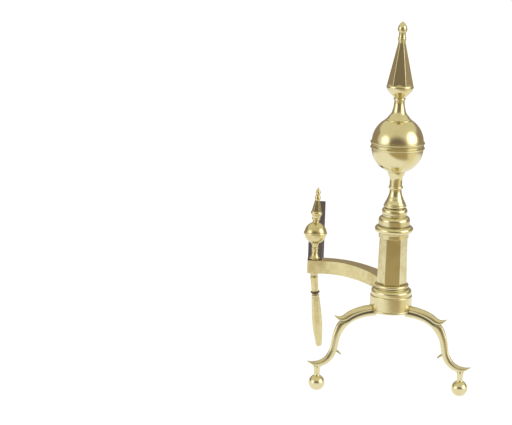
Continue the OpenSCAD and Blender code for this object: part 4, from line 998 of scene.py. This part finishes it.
def floor_in_metal(tree, place, front, right):
    """What the brass sees of the floor: white paper, warmer to the right, darker far off."""
    lit = join(tree, "MULTIPLY", right, across_line(tree, place, (0, -0.30), (-1, -0.30), 0.2))
    colour = blend(tree, lit, PAPER_IN_METAL, WARM_PAPER)
    away = tree.nodes.new("ShaderNodeVectorMath")
    away.operation = "DISTANCE"
    tree.links.new(place, away.inputs[0])
    away.inputs[1].default_value = COLUMN_AXIS * MM
    far = join(tree, "MULTIPLY", ramp(tree, away.outputs["Value"], 0.9, 1.5, 0, 1),
               across_line(tree, place, (-1, -0.25), (0, -0.25), 0.35))
    colour = blend(tree, front, blend(tree, far, colour, FAR_FLOOR), FRONT_IN_METAL)
    sheen = tree.nodes.new("ShaderNodeEmission")
    tree.links.new(colour, sheen.inputs["Color"])
    return sheen.outputs[0]


def floor_in_camera(tree):
    """White, with a faint shadow where the andiron keeps light from it."""
    shade = tree.nodes.new("ShaderNodeBsdfDiffuse")
    shade.inputs["Color"].default_value = (0.16, 0.16, 0.16, 1)
    glow = tree.nodes.new("ShaderNodeEmission")
    glow.inputs["Strength"].default_value = 0.93
    white = tree.nodes.new("ShaderNodeAddShader")
    tree.links.new(shade.outputs[0], white.inputs[0])
    tree.links.new(glow.outputs[0], white.inputs[1])
    return white.outputs[0]


def floor_finish():
    """White paper with a faint shadow; the floor in front of it is warmer and darker."""
    finish = bpy.data.materials.new("white_paper")
    finish.use_nodes = True
    tree = finish.node_tree
    nodes, link = tree.nodes, tree.links.new
    nodes.remove(nodes["Principled BSDF"])
    place = nodes.new("ShaderNodeTexCoord").outputs["Object"]
    right = across_line(tree, place, (0.43, -0.60), (0.85, -1.10), 0.12)
    front = join(tree, "MULTIPLY", across_line(tree, place, (0.24, -0.60), (-0.25, -0.909), 0.10),
                 join(tree, "SUBTRACT", 1, right))
    paper = nodes.new("ShaderNodeBsdfDiffuse")
    link(blend(tree, front, PAPER, FRONT_FLOOR), paper.inputs["Color"])
    path = nodes.new("ShaderNodeLightPath").outputs
    seen = choose(tree, path["Is Glossy Ray"], paper.outputs[0],
                  floor_in_metal(tree, place, front, right))
    seen = choose(tree, path["Is Camera Ray"], seen, floor_in_camera(tree))
    link(seen, nodes["Material Output"].inputs["Surface"])
    return finish


def studio():
    """The floor and the room round it."""
    bm = bmesh.new()
    bmesh.ops.create_grid(bm, x_segments=4, y_segments=4, size=8)
    mesh = bpy.data.meshes.new("floor")
    bm.to_mesh(mesh)
    bm.free()
    mesh.materials.append(floor_finish())
    floor = bpy.data.objects.new("floor", mesh)
    bpy.context.scene.collection.objects.link(floor)
    surroundings()


def camera():
    """The photograph's viewpoint: a long lens, a little above the andiron's tip."""
    view = bpy.data.cameras.new("camera")
    view.sensor_fit = "HORIZONTAL"
    view.sensor_width = 36
    view.lens = FOCAL_LENGTH * view.sensor_width / PICTURE_WIDTH
    view.clip_start, view.clip_end = 0.05, 50
    ahead = Vector((-sin(YAW) * cos(PITCH), cos(YAW) * cos(PITCH), -sin(PITCH)))
    level = Vector((cos(YAW), sin(YAW), 0))
    above = level.cross(ahead)
    right = cos(ROLL) * level + sin(ROLL) * above
    up = -sin(ROLL) * level + cos(ROLL) * above
    turn = Matrix((right, up, -ahead)).transposed().to_4x4()
    eye = bpy.data.objects.new("camera", view)
    eye.matrix_world = Matrix.Translation(VIEWPOINT) @ turn
    bpy.context.scene.collection.objects.link(eye)
    bpy.context.scene.camera = eye


front_stack()
stand()
arm_and_bar()
log_stop()
plain_nodes()
studio()
camera()
bpy.context.scene.view_settings.view_transform = "Standard"
